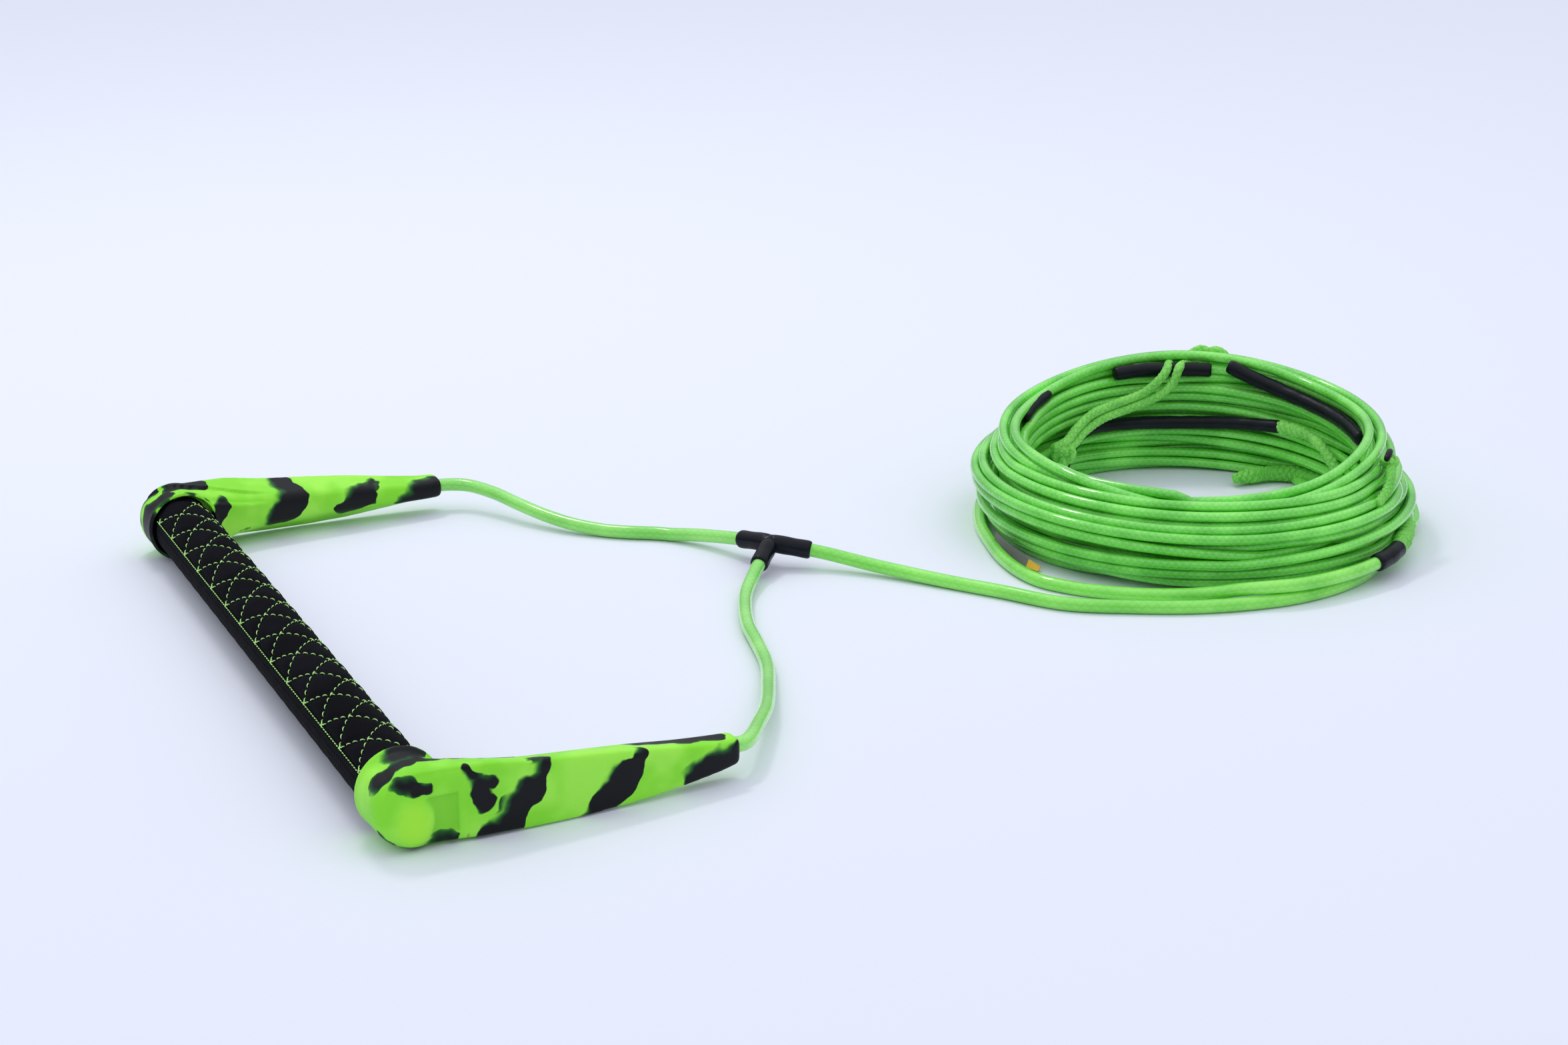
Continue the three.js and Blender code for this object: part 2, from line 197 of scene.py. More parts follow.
def noise(tree, coords, scale, detail=2.0, distortion=0.0, output="Fac"):
    node = tree.nodes.new("ShaderNodeTexNoise")
    for name, value in (("Scale", scale), ("Detail", detail), ("Distortion", distortion), ("Vector", coords)):
        feed(tree, node.inputs[name], value)
    return Value(tree, node.outputs[output])


def mix_colour(tree, first, second, share):
    """A colour socket between two colours, each a tuple or another such socket."""
    node = tree.nodes.new("ShaderNodeMix")
    node.data_type = "RGBA"
    for index, value in ((6, first), (7, second), (0, share)):
        feed(tree, node.inputs[index], value)
    return node.outputs[2]


def bump(tree, shader, height, distance):
    node = tree.nodes.new("ShaderNodeBump")
    feed(tree, node.inputs["Distance"], distance)
    feed(tree, node.inputs["Height"], height)
    tree.links.new(node.outputs["Normal"], shader.inputs["Normal"])


def braid(tree, strands, pitch):
    """The height of a round braid over a tube's UV."""
    u, v = uv_parts(tree)
    around = u * float(strands)
    along = v / pitch
    rising = around + along
    falling = around - along
    ridge_a = (rising * math.pi).math("SINE").math("ABSOLUTE")
    ridge_b = (falling * math.pi).math("SINE").math("ABSOLUTE")
    parity = (rising.math("FLOOR") + falling.math("FLOOR")).math("MODULO", 2.0).math("ABSOLUTE")
    return ridge_a * parity + ridge_b * (parity * -1.0 + 1.0)


# ---------- Materials ----------
def coated_rope(name, light, dark, strands, pitch, relief, roughness, stripe=0.0):
    """A braid that shows faintly through a clear green coating, with painted shade in its grooves. stripe darkens it
    along one side.
    """
    material, shader, tree = new_material(name)
    pattern = braid(tree, strands, pitch)
    coords = object_coords(tree)
    patches = noise(tree, coords, 35.0, 3.0)
    # A quarter of the mix paints the braid's grooves darker: painted shade. The rest is random tone.
    share = pattern.ramp(0.0, 0.9) * 0.25 + patches.ramp(0.3, 0.7) * 0.75
    colour = mix_colour(tree, dark, light, share)
    if stripe:
        side = (uv_parts(tree)[0] - 0.62).math("ABSOLUTE").ramp(0.16, 0.04)
        colour = mix_colour(tree, colour, dark, side * stripe)
    dress(
        tree, shader, Base_Color=colour, Roughness=roughness, Specular_IOR_Level=0.3,
        Coat_Weight=1.0, Coat_IOR=1.6, Coat_Roughness=0.07,
        Subsurface_Weight=0.25, Subsurface_Radius=(0.4, 1.0, 0.3), Subsurface_Scale=0.003,
    )
    ripples = noise(tree, coords, 210.0, 2.5)
    bump(tree, shader, pattern * 0.13 + ripples * 1.8, relief)
    return material


def dry_rope(name, light, dark):
    """Bare braid: its strands are in the mesh, its fibres here."""
    material, shader, tree = new_material(name)
    coords = object_coords(tree)
    fibres = noise(tree, coords, 1400.0, 4.0, 1.5)
    # weave paints the braid's grooves darker: painted shade. fibres and patches are random tone.
    weave = braid(tree, 4, 3.6).ramp(0.1, 0.9)
    patches = noise(tree, coords, 90.0, 2.0)
    share = fibres.ramp(0.3, 0.7) * 0.45 + patches.ramp(0.35, 0.65) * 0.25 + weave * 0.3
    dress(
        tree, shader, Base_Color=mix_colour(tree, dark, light, share), Roughness=0.62,
        Sheen_Weight=0.12, Sheen_Tint=(0.7, 1.0, 0.7),
    )
    bump(tree, shader, fibres, 0.00025)
    return material


def shrink_tube(name, specular, gloss):
    material, shader, tree = new_material(name)
    coords = object_coords(tree)
    grain = noise(tree, coords, 260.0, 4.0)
    rub = noise(tree, coords, 60.0, 3.0)
    tint = mix_colour(tree, (0.003, 0.004, 0.008), (0.009, 0.0105, 0.02), rub.ramp(0.4, 0.8))
    dress(
        tree, shader, Base_Color=tint, Roughness=grain * 0.2 + 0.26, Specular_IOR_Level=specular,
        Coat_Weight=gloss, Coat_Roughness=0.12,
    )
    bump(tree, shader, grain, 0.00025)
    return material


def suede(name):
    material, shader, tree = new_material(name)
    coords = object_coords(tree)
    nap = noise(tree, coords, 1800.0, 4.0)
    rub = noise(tree, coords, 45.0, 4.0).ramp(0.35, 0.7)
    tint = mix_colour(tree, (0.0025, 0.0025, 0.004), (0.009, 0.0088, 0.013), nap * 0.5 + rub * 0.5)
    dress(tree, shader, Base_Color=tint, Roughness=0.95, Specular_IOR_Level=0.06)
    bump(tree, shader, nap, 0.0003)
    return material


def perforated(name):
    """Black grip rubber with rows of small holes, over the panel's UV in millimetres."""
    material, shader, tree = new_material(name)
    dots = tree.nodes.new("ShaderNodeTexVoronoi")
    for slot, value in (("Scale", 0.36), ("Randomness", 0.0), ("Vector", uv_map(tree))):
        feed(tree, dots.inputs[slot], value)
    # The holes are painted darker than the rubber: painted shade inside them.
    around_hole = Value(tree, dots.outputs["Distance"]).ramp(0.2, 0.3)
    grain = noise(tree, object_coords(tree), 1500.0, 3.0)
    tint = mix_colour(tree, (0.0005, 0.0005, 0.0005), (0.007, 0.007, 0.009), around_hole)
    dress(tree, shader, Base_Color=tint, Roughness=grain * 0.2 + 0.7, Specular_IOR_Level=0.04)
    bump(tree, shader, around_hole + grain * 0.15, 0.0009)
    return material


def plain(name, light, dark, roughness, scale=300.0, metallic=0.0):
    material, shader, tree = new_material(name)
    grain = noise(tree, object_coords(tree), scale, 4.0)
    tint = mix_colour(tree, dark, light, grain)
    dress(tree, shader, Base_Color=tint, Roughness=grain * 0.15 + roughness, Metallic=metallic)
    bump(tree, shader, grain, 0.0001)
    return material


def thread(name):
    material, shader, tree = new_material(name)
    twist = noise(tree, object_coords(tree), 1600.0, 2.0)
    tint = mix_colour(tree, (0.44, 1.0, 0.22), (0.68, 1.0, 0.38), twist)
    dress(tree, shader, Base_Color=tint, Roughness=0.55)
    bump(tree, shader, twist, 0.0002)
    return material


def camouflage(name, strokes):
    """Neon silicone with dark pigment swirled into it, sharp on one side and feathered on the other.

    A stroke is (from, to, radius) in the arm's own millimetres.
    """
    material, shader, tree = new_material(name)
    place = attribute(tree, "arm_place", "Vector")

    def vector_math(operation, *values, output=0):
        node = tree.nodes.new("ShaderNodeVectorMath")
        node.operation = operation
        for slot, value in zip(node.inputs, values):
            feed(tree, slot, value)
        return node.outputs[output]

    wobble = noise(tree, place, 0.13, 1.6, output="Color")
    swirl = vector_math("MULTIPLY", wobble, (7.0, 7.0, 7.0))
    swirled = vector_math("ADD", vector_math("SUBTRACT", place, (3.5, 3.5, 3.5)), swirl)

    def nearest(point):
        """The distance to the nearest stroke's edge, negative inside it."""
        found = None
        for start, end, radius in strokes:
            reach = tuple(b - a for a, b in zip(start, end))
            offset = vector_math("SUBTRACT", point, start)
            along = Value(tree, vector_math("DOT_PRODUCT", offset, reach, output=1)) / sum(c * c for c in reach)
            along = along.math("MAXIMUM", 0.0).math("MINIMUM", 1.0)
            scaled = tree.nodes.new("ShaderNodeVectorMath")
            scaled.operation = "SCALE"
            scaled.inputs[0].default_value = reach
            tree.links.new(along.socket, scaled.inputs["Scale"])
            gap = Value(tree, vector_math("DISTANCE", offset, scaled.outputs[0], output=1)) - radius
            found = gap if found is None else found.math("SMOOTH_MIN", gap, 1.2)
        return found

    edge = nearest(swirled).ramp(0.3, -0.3)
    depth = nearest(vector_math("SUBTRACT", swirled, (2.4, 0.0, -0.8)))
    feather = noise(tree, place, 0.07, 1.0).ramp(0.3, 0.6)
    green = edge * depth.ramp(feather * 2.6 + 0.4, feather * -0.4 - 0.4)
    black = edge * depth.ramp(feather * 1.8, feather * -2.4 - 0.3)
    mottle = noise(tree, place, 0.05, 2.0).ramp(0.35, 0.65)
    thickness_and_painted_light = Value(tree, attribute(tree, "thickness_and_painted_light", "Fac"))
    colour = mix_colour(tree, (0.27, 0.84, 0.04), (0.40, 0.98, 0.09), mottle)
    # Painted shade on the sunken panel, then painted light on the boss.
    colour = mix_colour(tree, colour, (0.22, 0.70, 0.035), thickness_and_painted_light.ramp(0.5, 0.0) * 0.8)
    colour = mix_colour(tree, colour, (0.44, 1.0, 0.05), thickness_and_painted_light.ramp(0.5, 1.0) * 0.8)
    colour = mix_colour(tree, colour, (0.02, 0.20, 0.03), green)
    colour = mix_colour(tree, colour, (0.004, 0.0045, 0.007), black)
    grain = noise(tree, place, 2.2, 3.0)
    dress(
        tree, shader, Base_Color=colour, Roughness=grain * 0.1 + 0.42, Specular_IOR_Level=0.2,
        Subsurface_Weight=0.12, Subsurface_Radius=(0.6, 1.0, 0.3), Subsurface_Scale=0.002,
    )
    bump(tree, shader, grain, 0.00012)
    return material


# ---------- Mesh helpers ----------
def add_mesh(name, vertices, faces, material, uv=None, smooth=True):
    """A mesh object from millimetres. uv holds one pair for each corner of each face, in order."""
    mesh = bpy.data.meshes.new(name)
    places = [tuple(vertex) for vertex in np.asarray(vertices, float) * MM]
    mesh.from_pydata(places, [], [tuple(int(i) for i in face) for face in faces])
    if uv is not None:
        layer = mesh.uv_layers.new(name="along")
        layer.data.foreach_set("uv", np.asarray(uv, np.float32).ravel())
    if smooth:
        mesh.polygons.foreach_set("use_smooth", [True] * len(mesh.polygons))
    mesh.materials.append(material)
    mesh.update()
    piece = bpy.data.objects.new(name, mesh)
    scene.collection.objects.link(piece)
    return piece


def distance_along(points):
    return np.concatenate([[0.0], np.cumsum(np.linalg.norm(np.diff(points, axis=0), axis=1))])


def resampled(wanted, along, points):
    """The places at the wanted distances along a line of points."""
    return np.stack([np.interp(wanted, along, points[:, axis]) for axis in range(3)], axis=1)


def curve_through(points, spacing):
    """Evenly spaced points on a centripetal Catmull-Rom curve through given points."""
    points = np.asarray(points, float)
    padded = np.vstack([2 * points[0] - points[1], points, 2 * points[-1] - points[-2]])
    dense = []
    for i in range(1, len(padded) - 2):
        p0, p1, p2, p3 = padded[i - 1 : i + 3]
        knots = [0.0]
        for a, b in ((p0, p1), (p1, p2), (p2, p3)):
            knots.append(knots[-1] + max(np.linalg.norm(b - a), 1e-6) ** 0.5)
        t0, t1, t2, t3 = knots
        for t in np.linspace(t1, t2, 24, endpoint=False):
            a1 = (t1 - t) / (t1 - t0) * p0 + (t - t0) / (t1 - t0) * p1
            a2 = (t2 - t) / (t2 - t1) * p1 + (t - t1) / (t2 - t1) * p2
            a3 = (t3 - t) / (t3 - t2) * p2 + (t - t2) / (t3 - t2) * p3
            b1 = (t2 - t) / (t2 - t0) * a1 + (t - t0) / (t2 - t0) * a2
            b2 = (t3 - t) / (t3 - t1) * a2 + (t - t1) / (t3 - t1) * a3
            dense.append((t2 - t) / (t2 - t1) * b1 + (t - t1) / (t2 - t1) * b2)
    dense.append(points[-1])
    dense = np.array(dense)
    along = distance_along(dense)
    count = max(4, int(round(along[-1] / spacing)) + 1)
    return resampled(np.linspace(0.0, along[-1], count), along, dense)


def length_of(path):
    return float(np.linalg.norm(np.diff(np.asarray(path), axis=0), axis=1).sum())


def frames_along(path):
    """Tangents and a pair of cross directions that don't twist along the path."""
    tangents = np.gradient(path, axis=0)
    tangents /= np.linalg.norm(tangents, axis=1)[:, None]
    side = np.cross(tangents[0], [0.0, 0.0, 1.0])
    if np.linalg.norm(side) < 1e-3:
        side = np.array([1.0, 0.0, 0.0])
    sides = []
    for tangent in tangents:
        side = side - tangent * side.dot(tangent)
        side /= np.linalg.norm(side)
        sides.append(side)
    sides = np.array(sides)
    return tangents, sides, np.cross(sides, tangents)


def loft(rows, sides):
    """Quads between equal rings of vertices, then a cap on the first ring and on the last."""
    faces = []
    for low in range(0, (rows - 1) * sides, sides):
        high = low + sides
        for s in range(sides):
            n = (s + 1) % sides
            faces.append((low + s, low + n, high + n, high + s))
    faces.append(tuple(range(sides))[::-1])
    faces.append(tuple(range((rows - 1) * sides, rows * sides)))
    return faces


def tube(name, path, radius, material, sides=12, relief=None, round_ends=True):
    """A round tube along a path. relief(u, v) adds to the radius, u once round and v along in millimetres."""
    path = np.asarray(path, float)
    tangents, right, up = frames_along(path)
    along = distance_along(path)
    radii = np.broadcast_to(np.asarray(radius, float), len(path)).copy()
    rings = [(path[i], radii[i], along[i], i) for i in range(len(path))]
    if round_ends:
        cap = [(0.92, 0.38), (0.7, 0.71), (0.36, 0.93)]
        first, last = rings[0], rings[-1]
        head = [(first[0] - tangents[0] * first[1] * b * 0.6, first[1] * a, *first[2:]) for a, b in reversed(cap)]
        foot = [(last[0] + tangents[-1] * last[1] * b * 0.6, last[1] * a, *last[2:]) for a, b in cap]
        rings = head + rings + foot
    angles = 2 * np.pi * np.arange(sides) / sides
    vertices = []
    for centre, r, v, i in rings:
        local = r + (relief(angles / (2 * np.pi), v) if relief else 0.0) * (r / max(radii[i], 1e-6))
        ring = centre + np.outer(local * np.cos(angles), right[i]) + np.outer(local * np.sin(angles), up[i])
        vertices.append(ring)
    uv = []
    for low, high in zip(rings, rings[1:]):
        v0, v1 = low[2], high[2]
        for s in range(sides):
            u0, u1 = s / sides, (s + 1) / sides
            uv += [(u0, v0), (u1, v0), (u1, v1), (u0, v1)]
    uv += [(0.5, rings[0][2])] * sides + [(0.5, rings[-1][2])] * sides
    return add_mesh(name, np.vstack(vertices), loft(len(rings), sides), material, uv)


def braided(strands, pitch, depth):
    """Relief of a braid for tube(): raised strands crossing over and under each other."""

    def relief(u, v):
        rising = strands * u + v / pitch
        falling = strands * u - v / pitch
        parity = (np.floor(rising) + np.floor(falling)) % 2
        return depth * np.where(parity > 0.5, np.abs(np.sin(np.pi * rising)), np.abs(np.sin(np.pi * falling)))

    return relief


def lathe(profile, sides):
    """Vertices and faces of a closed turned shape about +Y. profile is (radius, along) from one end to the other."""
    vertices, faces, rings = [], [], []
    for radius, along in profile:
        if radius < 1e-6:
            rings.append([len(vertices)])
            vertices.append((0.0, along, 0.0))
            continue
        rings.append(list(range(len(vertices), len(vertices) + sides)))
        for s in range(sides):
            angle = 2 * math.pi * s / sides
            vertices.append((radius * math.sin(angle), along, radius * math.cos(angle)))
    for low, high in zip(rings, rings[1:]):
        for s in range(sides):
            n = (s + 1) % sides
            corners = [low[s % len(low)], low[n % len(low)], high[n % len(high)], high[s % len(high)]]
            face = list(dict.fromkeys(corners))
            if len(face) > 2:
                faces.append(face)
    return vertices, faces


def vectors_of(items, name):
    """A vector property of mesh items, one row each."""
    values = np.zeros(len(items) * 3, np.float32)
    items.foreach_get(name, values)
    return values.reshape(-1, 3)


def move_vertices(mesh, places):
    mesh.vertices.foreach_set("co", (places * MM).astype(np.float32).ravel())
    mesh.update()


def outwards(piece):
    """Makes every face of a closed piece point out."""
    work = bmesh.new()
    work.from_mesh(piece.data)
    bmesh.ops.recalc_face_normals(work, faces=work.faces)
    work.to_mesh(piece.data)
    work.free()


def apply_modifiers(piece):
    """Replaces the mesh by what its modifiers make of it."""
    bpy.context.view_layer.update()
    graph = bpy.context.evaluated_depsgraph_get()
    mesh = bpy.data.meshes.new_from_object(piece.evaluated_get(graph))
    piece.modifiers.clear()
    piece.data = mesh


def cut(piece, cutter):
    modifier = piece.modifiers.new("cut", "BOOLEAN")
    modifier.operation = "DIFFERENCE"
    modifier.solver = "MANIFOLD"
    modifier.object = cutter
    apply_modifiers(piece)
    bpy.data.objects.remove(cutter)


def smoothstep(low, high, value):
    """0 below low, 1 above high, smooth between."""
    t = np.clip((value - low) / (high - low), 0.0, 1.0)
    return t * t * (3 - 2 * t)


def between(value, low, low_inside, high_inside, high):
    """1 between the inner two limits, 0 outside the outer two, smooth on both sides."""
    return smoothstep(low, low_inside, value) * smoothstep(high, high_inside, value)


# ---------- The ropes' routes, as in the frame ----------
def at_coil(degrees, radius, z):
    angle = math.radians(degrees)
    return (COIL_CENTRE[0] + radius * math.cos(angle), COIL_CENTRE[1] + radius * math.sin(angle), z)


LEFT_LEG = [
    (57.3, 183.0, 13.5), (66.2, 183.5, 13.25), (74.8, 184, 13), (80, 183.5, 12.9), (89, 179, 12.6),
    (98, 166, 11.4), (106, 149, 9), (114, 135, 6.6), (123, 122, 4.8), (133, 112, 3.6),
    (144, 103, 3.1), (160, 92.5, 3.2), (173, 77, 5.5),
]
RIGHT_LEG = [
    (57.4, -177.2, 13.5), (66.4, -177.1, 13.25), (76.5, -177, 12.95), (80, -176.2, 12.8), (86, -170, 12.1),
    (95, -157, 10.6), (108, -137, 8), (122, -109, 5), (133, -84, 3.4), (140, -59, 3.1),
    (145, -39, 3.1), (153, -18, 3.1), (162, 0, 4),
]
FEET = {"left": (183, 56, 9), "right": (173, 16, 5.5), "lead": (206, 26, 9.5)}
SLEEVE_RUN, SHORT_OF_JUNCTION = 15.0, 4.6
SLEEVE_OVERSHOOT = {"left": 3.6, "right": 2.4, "lead": 4.2}
LEAD = [
    (214, 20, 8), (230, 4, 5), (253, -26, 3.3), (269, -48, 3.2), (288, -75, 3.2), (314, -91.5, 3.1),
    (339, -103.5, 3.1), (364, -110.5, 3.1), (388, -113, 3.1), (412, -110, 3.1), (434, -102, 3.1), (450, -92, 3.1),
    *[at_coil(a, 105.5, 3.1) for a in range(-58, 153, 10)],
    (306, 36, 3.1), (299, 15, 3.1), (293, -8, 3.1), (291, -28, 3.1), (293, -43, 3.1), (300, -56, 3.1),
    (309, -66.5, 3.1), (323, -78.5, 3.3), (340, -90, 4.2), (352, -98.5, 6), (363, -105, 8.2),
    (375, -110.5, 9.3), (390, -113.5, 9.4), (408, -113, 9.5), (426, -110, 9.7), (437, -106.7, 10),
]
LEAD_END = [(437, -106.7, 10), (438, -106.4, 10.1), (445, -103.4, 10.2), (452, -99.6, 10.4), (458.6, -95.2, 10.6)]


def to_junction(rope):
    """The straight end of a rope inside its sleeve: where it starts, where it ends, and which way it goes."""
    way = JUNCTION - np.array(FEET[rope])
    way /= np.linalg.norm(way)
    end = JUNCTION - way * SHORT_OF_JUNCTION
    return end - way * SLEEVE_RUN, end, way


def wind_coil(neighbours):
    """The towing line's centreline: loose turns settled on each other, the last ones laid as listed.

    Turns are settled in the cross-sections of the coil. Each sample of the line is a disc in its
    section's plane. Discs are pulled towards a wandering route, pushed apart and smoothed along the line.
    neighbours are the ropes and sleeves that lie against the coil, as (path, radius).
    """
    per_turn = 48  # samples
    free = 30 * per_turn + 32
    row_height, first_row, inner_wall = 4.5, 2.5, 84.2
    by_hand = [
        (-165, 90, 33), (-155, 88.5, 34.3), (-148, 86.4, 35.8), (-143, 85, 36.8), (-130, 84.4, 37.8),
        (-111, 84.4, 39), (-93, 84.4, 40.6), (-83, 84.4, 42.2), (-73, 84.3, 44.4), (-64, 84, 47), (-55, 83.6, 49.3),
        (-40, 84, 51), (-20, 84.3, 52.6), (0, 84.2, 53.8), (17, 85, 55.6), (30, 86.5, 58.6), (42, 87, 61),
        (56, 88, 62.1), (68, 88, 61.6), (79, 87.5, 60), (94, 87, 57.2), (105, 86.5, 54.4), (120, 86.5, 50.8),
        (140, 88, 48.2), (160, 89.5, 46.8), (175, 89.6, 46), (184, 89.5, 45.2), (194, 89.3, 43.6), (204, 89, 41.8),
        (216, 89, 39.4), (230, 89, 36.6), (248, 89.2, 35.4), (259, 89.2, 36), (270, 89.2, 38), (283, 89, 40.3),
        (293, 89, 43.2), (302, 89, 45.4), (320, 89.8, 47.4), (339, 92.2, 48.9), (349, 93.6, 50.2), (361, 93.8, 52.4),
        (377, 93.4, 55), (390, 93.2, 57.6), (402, 93, 59.6), (416, 92.8, 60.8), (425, 92.8, 60.6), (439, 93, 58.8),
        (454, 93.4, 55.8), (465, 94, 53), (479, 94.6, 50.2), (496, 95, 47.6), (512, 94.6, 45), (525, 93.4, 42.4),
        (537, 91, 40.6), (547, 87.6, 39), (556, 84.8, 37), (566, 83.4, 33.6), (580, 82.6, 27), (600, 82.4, 18),
        (620, 82.6, 10), (640, 83.2, 5), (660, 84.5, 2.6), (680, 85.6, 2.5), (705, 86.5, 2.5), (720, 88, 2.8),
    ]
    pinned = int((720 + 165) / 360 * per_turn)
    total = free + pinned
    turn = np.arange(total) / per_turn
    degrees = -45.0 + 360.0 * turn
    rearward = np.maximum(0.0, np.cos(np.radians(degrees - 60.0)))

    # Places in the stack: rows from the floor up, each from the inner wall outwards.
    rng = np.random.default_rng(11)
    outer = [101.5, 103.5, 106.5, 108.5, 108, 104.5, 100, 95, 91]
    leftward = [-6, -6.5, -5, -2, 2, 4.5, 4.5, 2.5, 0.5]
    across = [3, 3, 4, 4, 4, 4, 3, 3, 2]
    stack = []
    for row, (reach, count) in enumerate(zip(outer, across)):
        radii = np.linspace(84.8, reach, count)
        for slot in rng.permutation(count):
            stack.append((radii[slot], first_row + row_height * row + 0.5 * (slot % 2)))
    stack = np.array(stack + [stack[-1]])
    level = np.clip(turn / (turn[free] / (len(stack) - 1)), 0.0, len(stack) - 1.001)
    nearby = np.floor(level).astype(int)
    moves = np.where(rng.random(len(stack)) < 0.6, 0.62, 0.16) + rng.uniform(-0.09, 0.09, len(stack))
    shift = smoothstep(moves[nearby] - 0.16, moves[nearby] + 0.16, level - nearby)
    spot = stack[nearby] + (stack[nearby + 1] - stack[nearby]) * shift[:, None]
    sideways = np.abs(np.cos(np.radians(degrees)))
    sway = np.interp(level, np.arange(len(stack)), rng.uniform(-1.6, 4.2, len(stack))) * sideways
    bob = np.interp(level, np.arange(0, len(stack), 0.5), rng.uniform(-1.0, 1.0, 2 * len(stack)))
    bob = bob * (1.0 + 9.0 * sideways**2 * smoothstep(92.0, 99.0, spot[:, 0]))
    bearing = (degrees - 150.0 + 180.0) % 360.0 - 180.0
    leftness = np.exp(-((bearing / 45.0) ** 2)) * smoothstep(85.0, 98.0, spot[:, 0])
    sway = sway + leftness * np.interp(spot[:, 1], first_row + row_height * np.arange(len(outer)), leftward)
    radius = 84.6 + (spot[:, 0] - 84.6 + sway * smoothstep(86.0, 95.0, spot[:, 0])) * (1 - 0.42 * rearward)
    target = np.stack([radius, 2.4 + (spot[:, 1] - 2.4 + 0.5 * bob) * (1 + 0.5 * rearward)], axis=1)

    # The ends of the line, listed as (bearing, radius, height): the top turns, and the start at the foot.
    hand = np.array(by_hand, float)
    start = np.array([(-45, 106.5, 12.6), (-30, 105.5, 10.8), (-15, 104, 8.4), (0, 102.5, 6.0), (15, 101, 4.4)])
    laid = per_turn // 6 + 1
    kernel = np.array([1.0, 2.0, 1.0]) / 4.0
    for axis in (0, 1):
        where = degrees[free:] - (degrees[free] + 165.0)
        top = np.interp(where, hand[:, 0], hand[:, axis + 1])
        for _ in range(2):
            top = np.convolve(np.concatenate([top[:1], top, top[-1:]]), kernel, "valid")
        target[free:, axis] = top
        target[:laid, axis] = np.interp(degrees[:laid], start[:, 0], start[:, axis + 1])

    # Where each neighbour stands in every sample's section
    blocked = []
    for path, radius in neighbours:
        path = np.asarray(path)
        away = path[:, :2] - COIL_CENTRE
        bearing = np.degrees(np.unwrap(np.arctan2(away[:, 1], away[:, 0])))
        if bearing[-1] < bearing[0]:
            bearing, away, path = bearing[::-1], away[::-1], path[::-1]
        here = bearing[0] + (degrees - bearing[0]) % 360.0
        out = np.interp(here, bearing, np.linalg.norm(away, axis=1))
        blocked.append((out, np.interp(here, bearing, path[:, 2]), here <= bearing[-1], radius))

    rows = math.ceil(total / per_turn)
    spare = rows * per_turn - total
    live = np.concatenate([np.ones(total), np.zeros(spare)]).reshape(rows, per_turn) > 0
    both = live[:, None, :] & live[None, :, :] & ~np.eye(rows, dtype=bool)[:, :, None]
    order = np.sign(np.arange(rows)[:, None] - np.arange(rows)[None, :])[:, :, None]
    weight = np.ones(total)  # 0 where the line is listed, not settled
    weight[free:] = weight[:laid] = 0.0
    place = target.copy()
    clear = LINE_D * 1.01
    steps, loose_steps, last_smoothing = 420, 260, 404
    for step in range(steps):
        loose = step < loose_steps
        place += (target - place) * ((0.04 if loose else 0.008) * weight)[:, None]
        for _ in range(2 if loose else 4):
            grid = np.concatenate([place, np.zeros((spare, 2))]).reshape(rows, per_turn, 2)
            gap = grid[:, None] - grid[None, :]
            dr, dz = gap[..., 0], gap[..., 1]
            far = np.sqrt(dr * dr + dz * dz)
            overlap = np.where(both & (far < clear), clear - far, 0.0)
            lift = dz + 0.9 * order
            size = np.sqrt(dr * dr + lift * lift) + 1e-6
            push = [(overlap * gap_along / size).sum(axis=1) * 0.45 for gap_along in (dr, lift)]
            push = np.stack(push, axis=2).reshape(-1, 2)[:total]
            for out, height, reached, radius in blocked:
                dr, dz = place[:, 0] - out, place[:, 1] - height
                far = np.sqrt(dr * dr + dz * dz) + 1e-6
                overlap = np.where(reached & (far < radius + clear / 2), radius + clear / 2 - far, 0.0)
                push += np.stack([overlap * dr / far, overlap * dz / far], axis=1)
            place += np.clip(push, -1.2, 1.2) * weight[:, None]
            place[:, 0] = np.where(weight > 0, np.maximum(place[:, 0], inner_wall), place[:, 0])
            place[:, 1] = np.maximum(place[:, 1], LINE_D / 2 + 0.05)
        if step % 2 == 0 and step < last_smoothing:
            smooth = place.copy()
            smooth[1:-1] = 0.25 * place[:-2] + 0.5 * place[1:-1] + 0.25 * place[2:]
            place += (smooth - place) * weight[:, None]

    return curve_through([at_coil(bearing, *spot) for bearing, spot in zip(degrees, place)], 6.0)


def cord_piece(piece, path, **facts):
    """Turns a cord's centreline, path, from millimetres into metres and does nothing more with it."""
    path = np.asarray(path) * MM


# ---------- Arms: x along the arm from the pivot, o outwards, z up ----------
ARM_STATIONS = [  # along, outer, inner, outer face low and high, inner face low and high
    (0, 12.2, -10.5, 0.2, 33.4, 0.2, 33.4), (13, 12.5, -9.5, 0.6, 32.8, 3, 30), (29, 12.6, -7.6, 0.6, 31.6, 8, 25),
    (45, 12.6, -6.2, -0.2, 28.8, 10.5, 22.8), (67, 12.2, -5.2, -0.4, 26.6, 11.2, 21.6),
    (88, 11.7, -5, 0.4, 24.2, 11, 20), (110, 11, -4.4, 2.8, 20.6, 9.8, 17.9),
    (127, 10.2, -4, 5.4, 18.2, 9, 17), (134, 9, -2.8, 7, 18.6, 8.6, 17.4),
]
CORNER_RADII = [(9.0, 2.0, 3.0), (10.0, 3.5, 3.5), (10.0, 5.5, 4.5), (9.0, 5.0, 4.0)]  # at the base, 25 along, the tip
TIP_OFFSET, TIP_HEIGHT = 3.0, 13.0

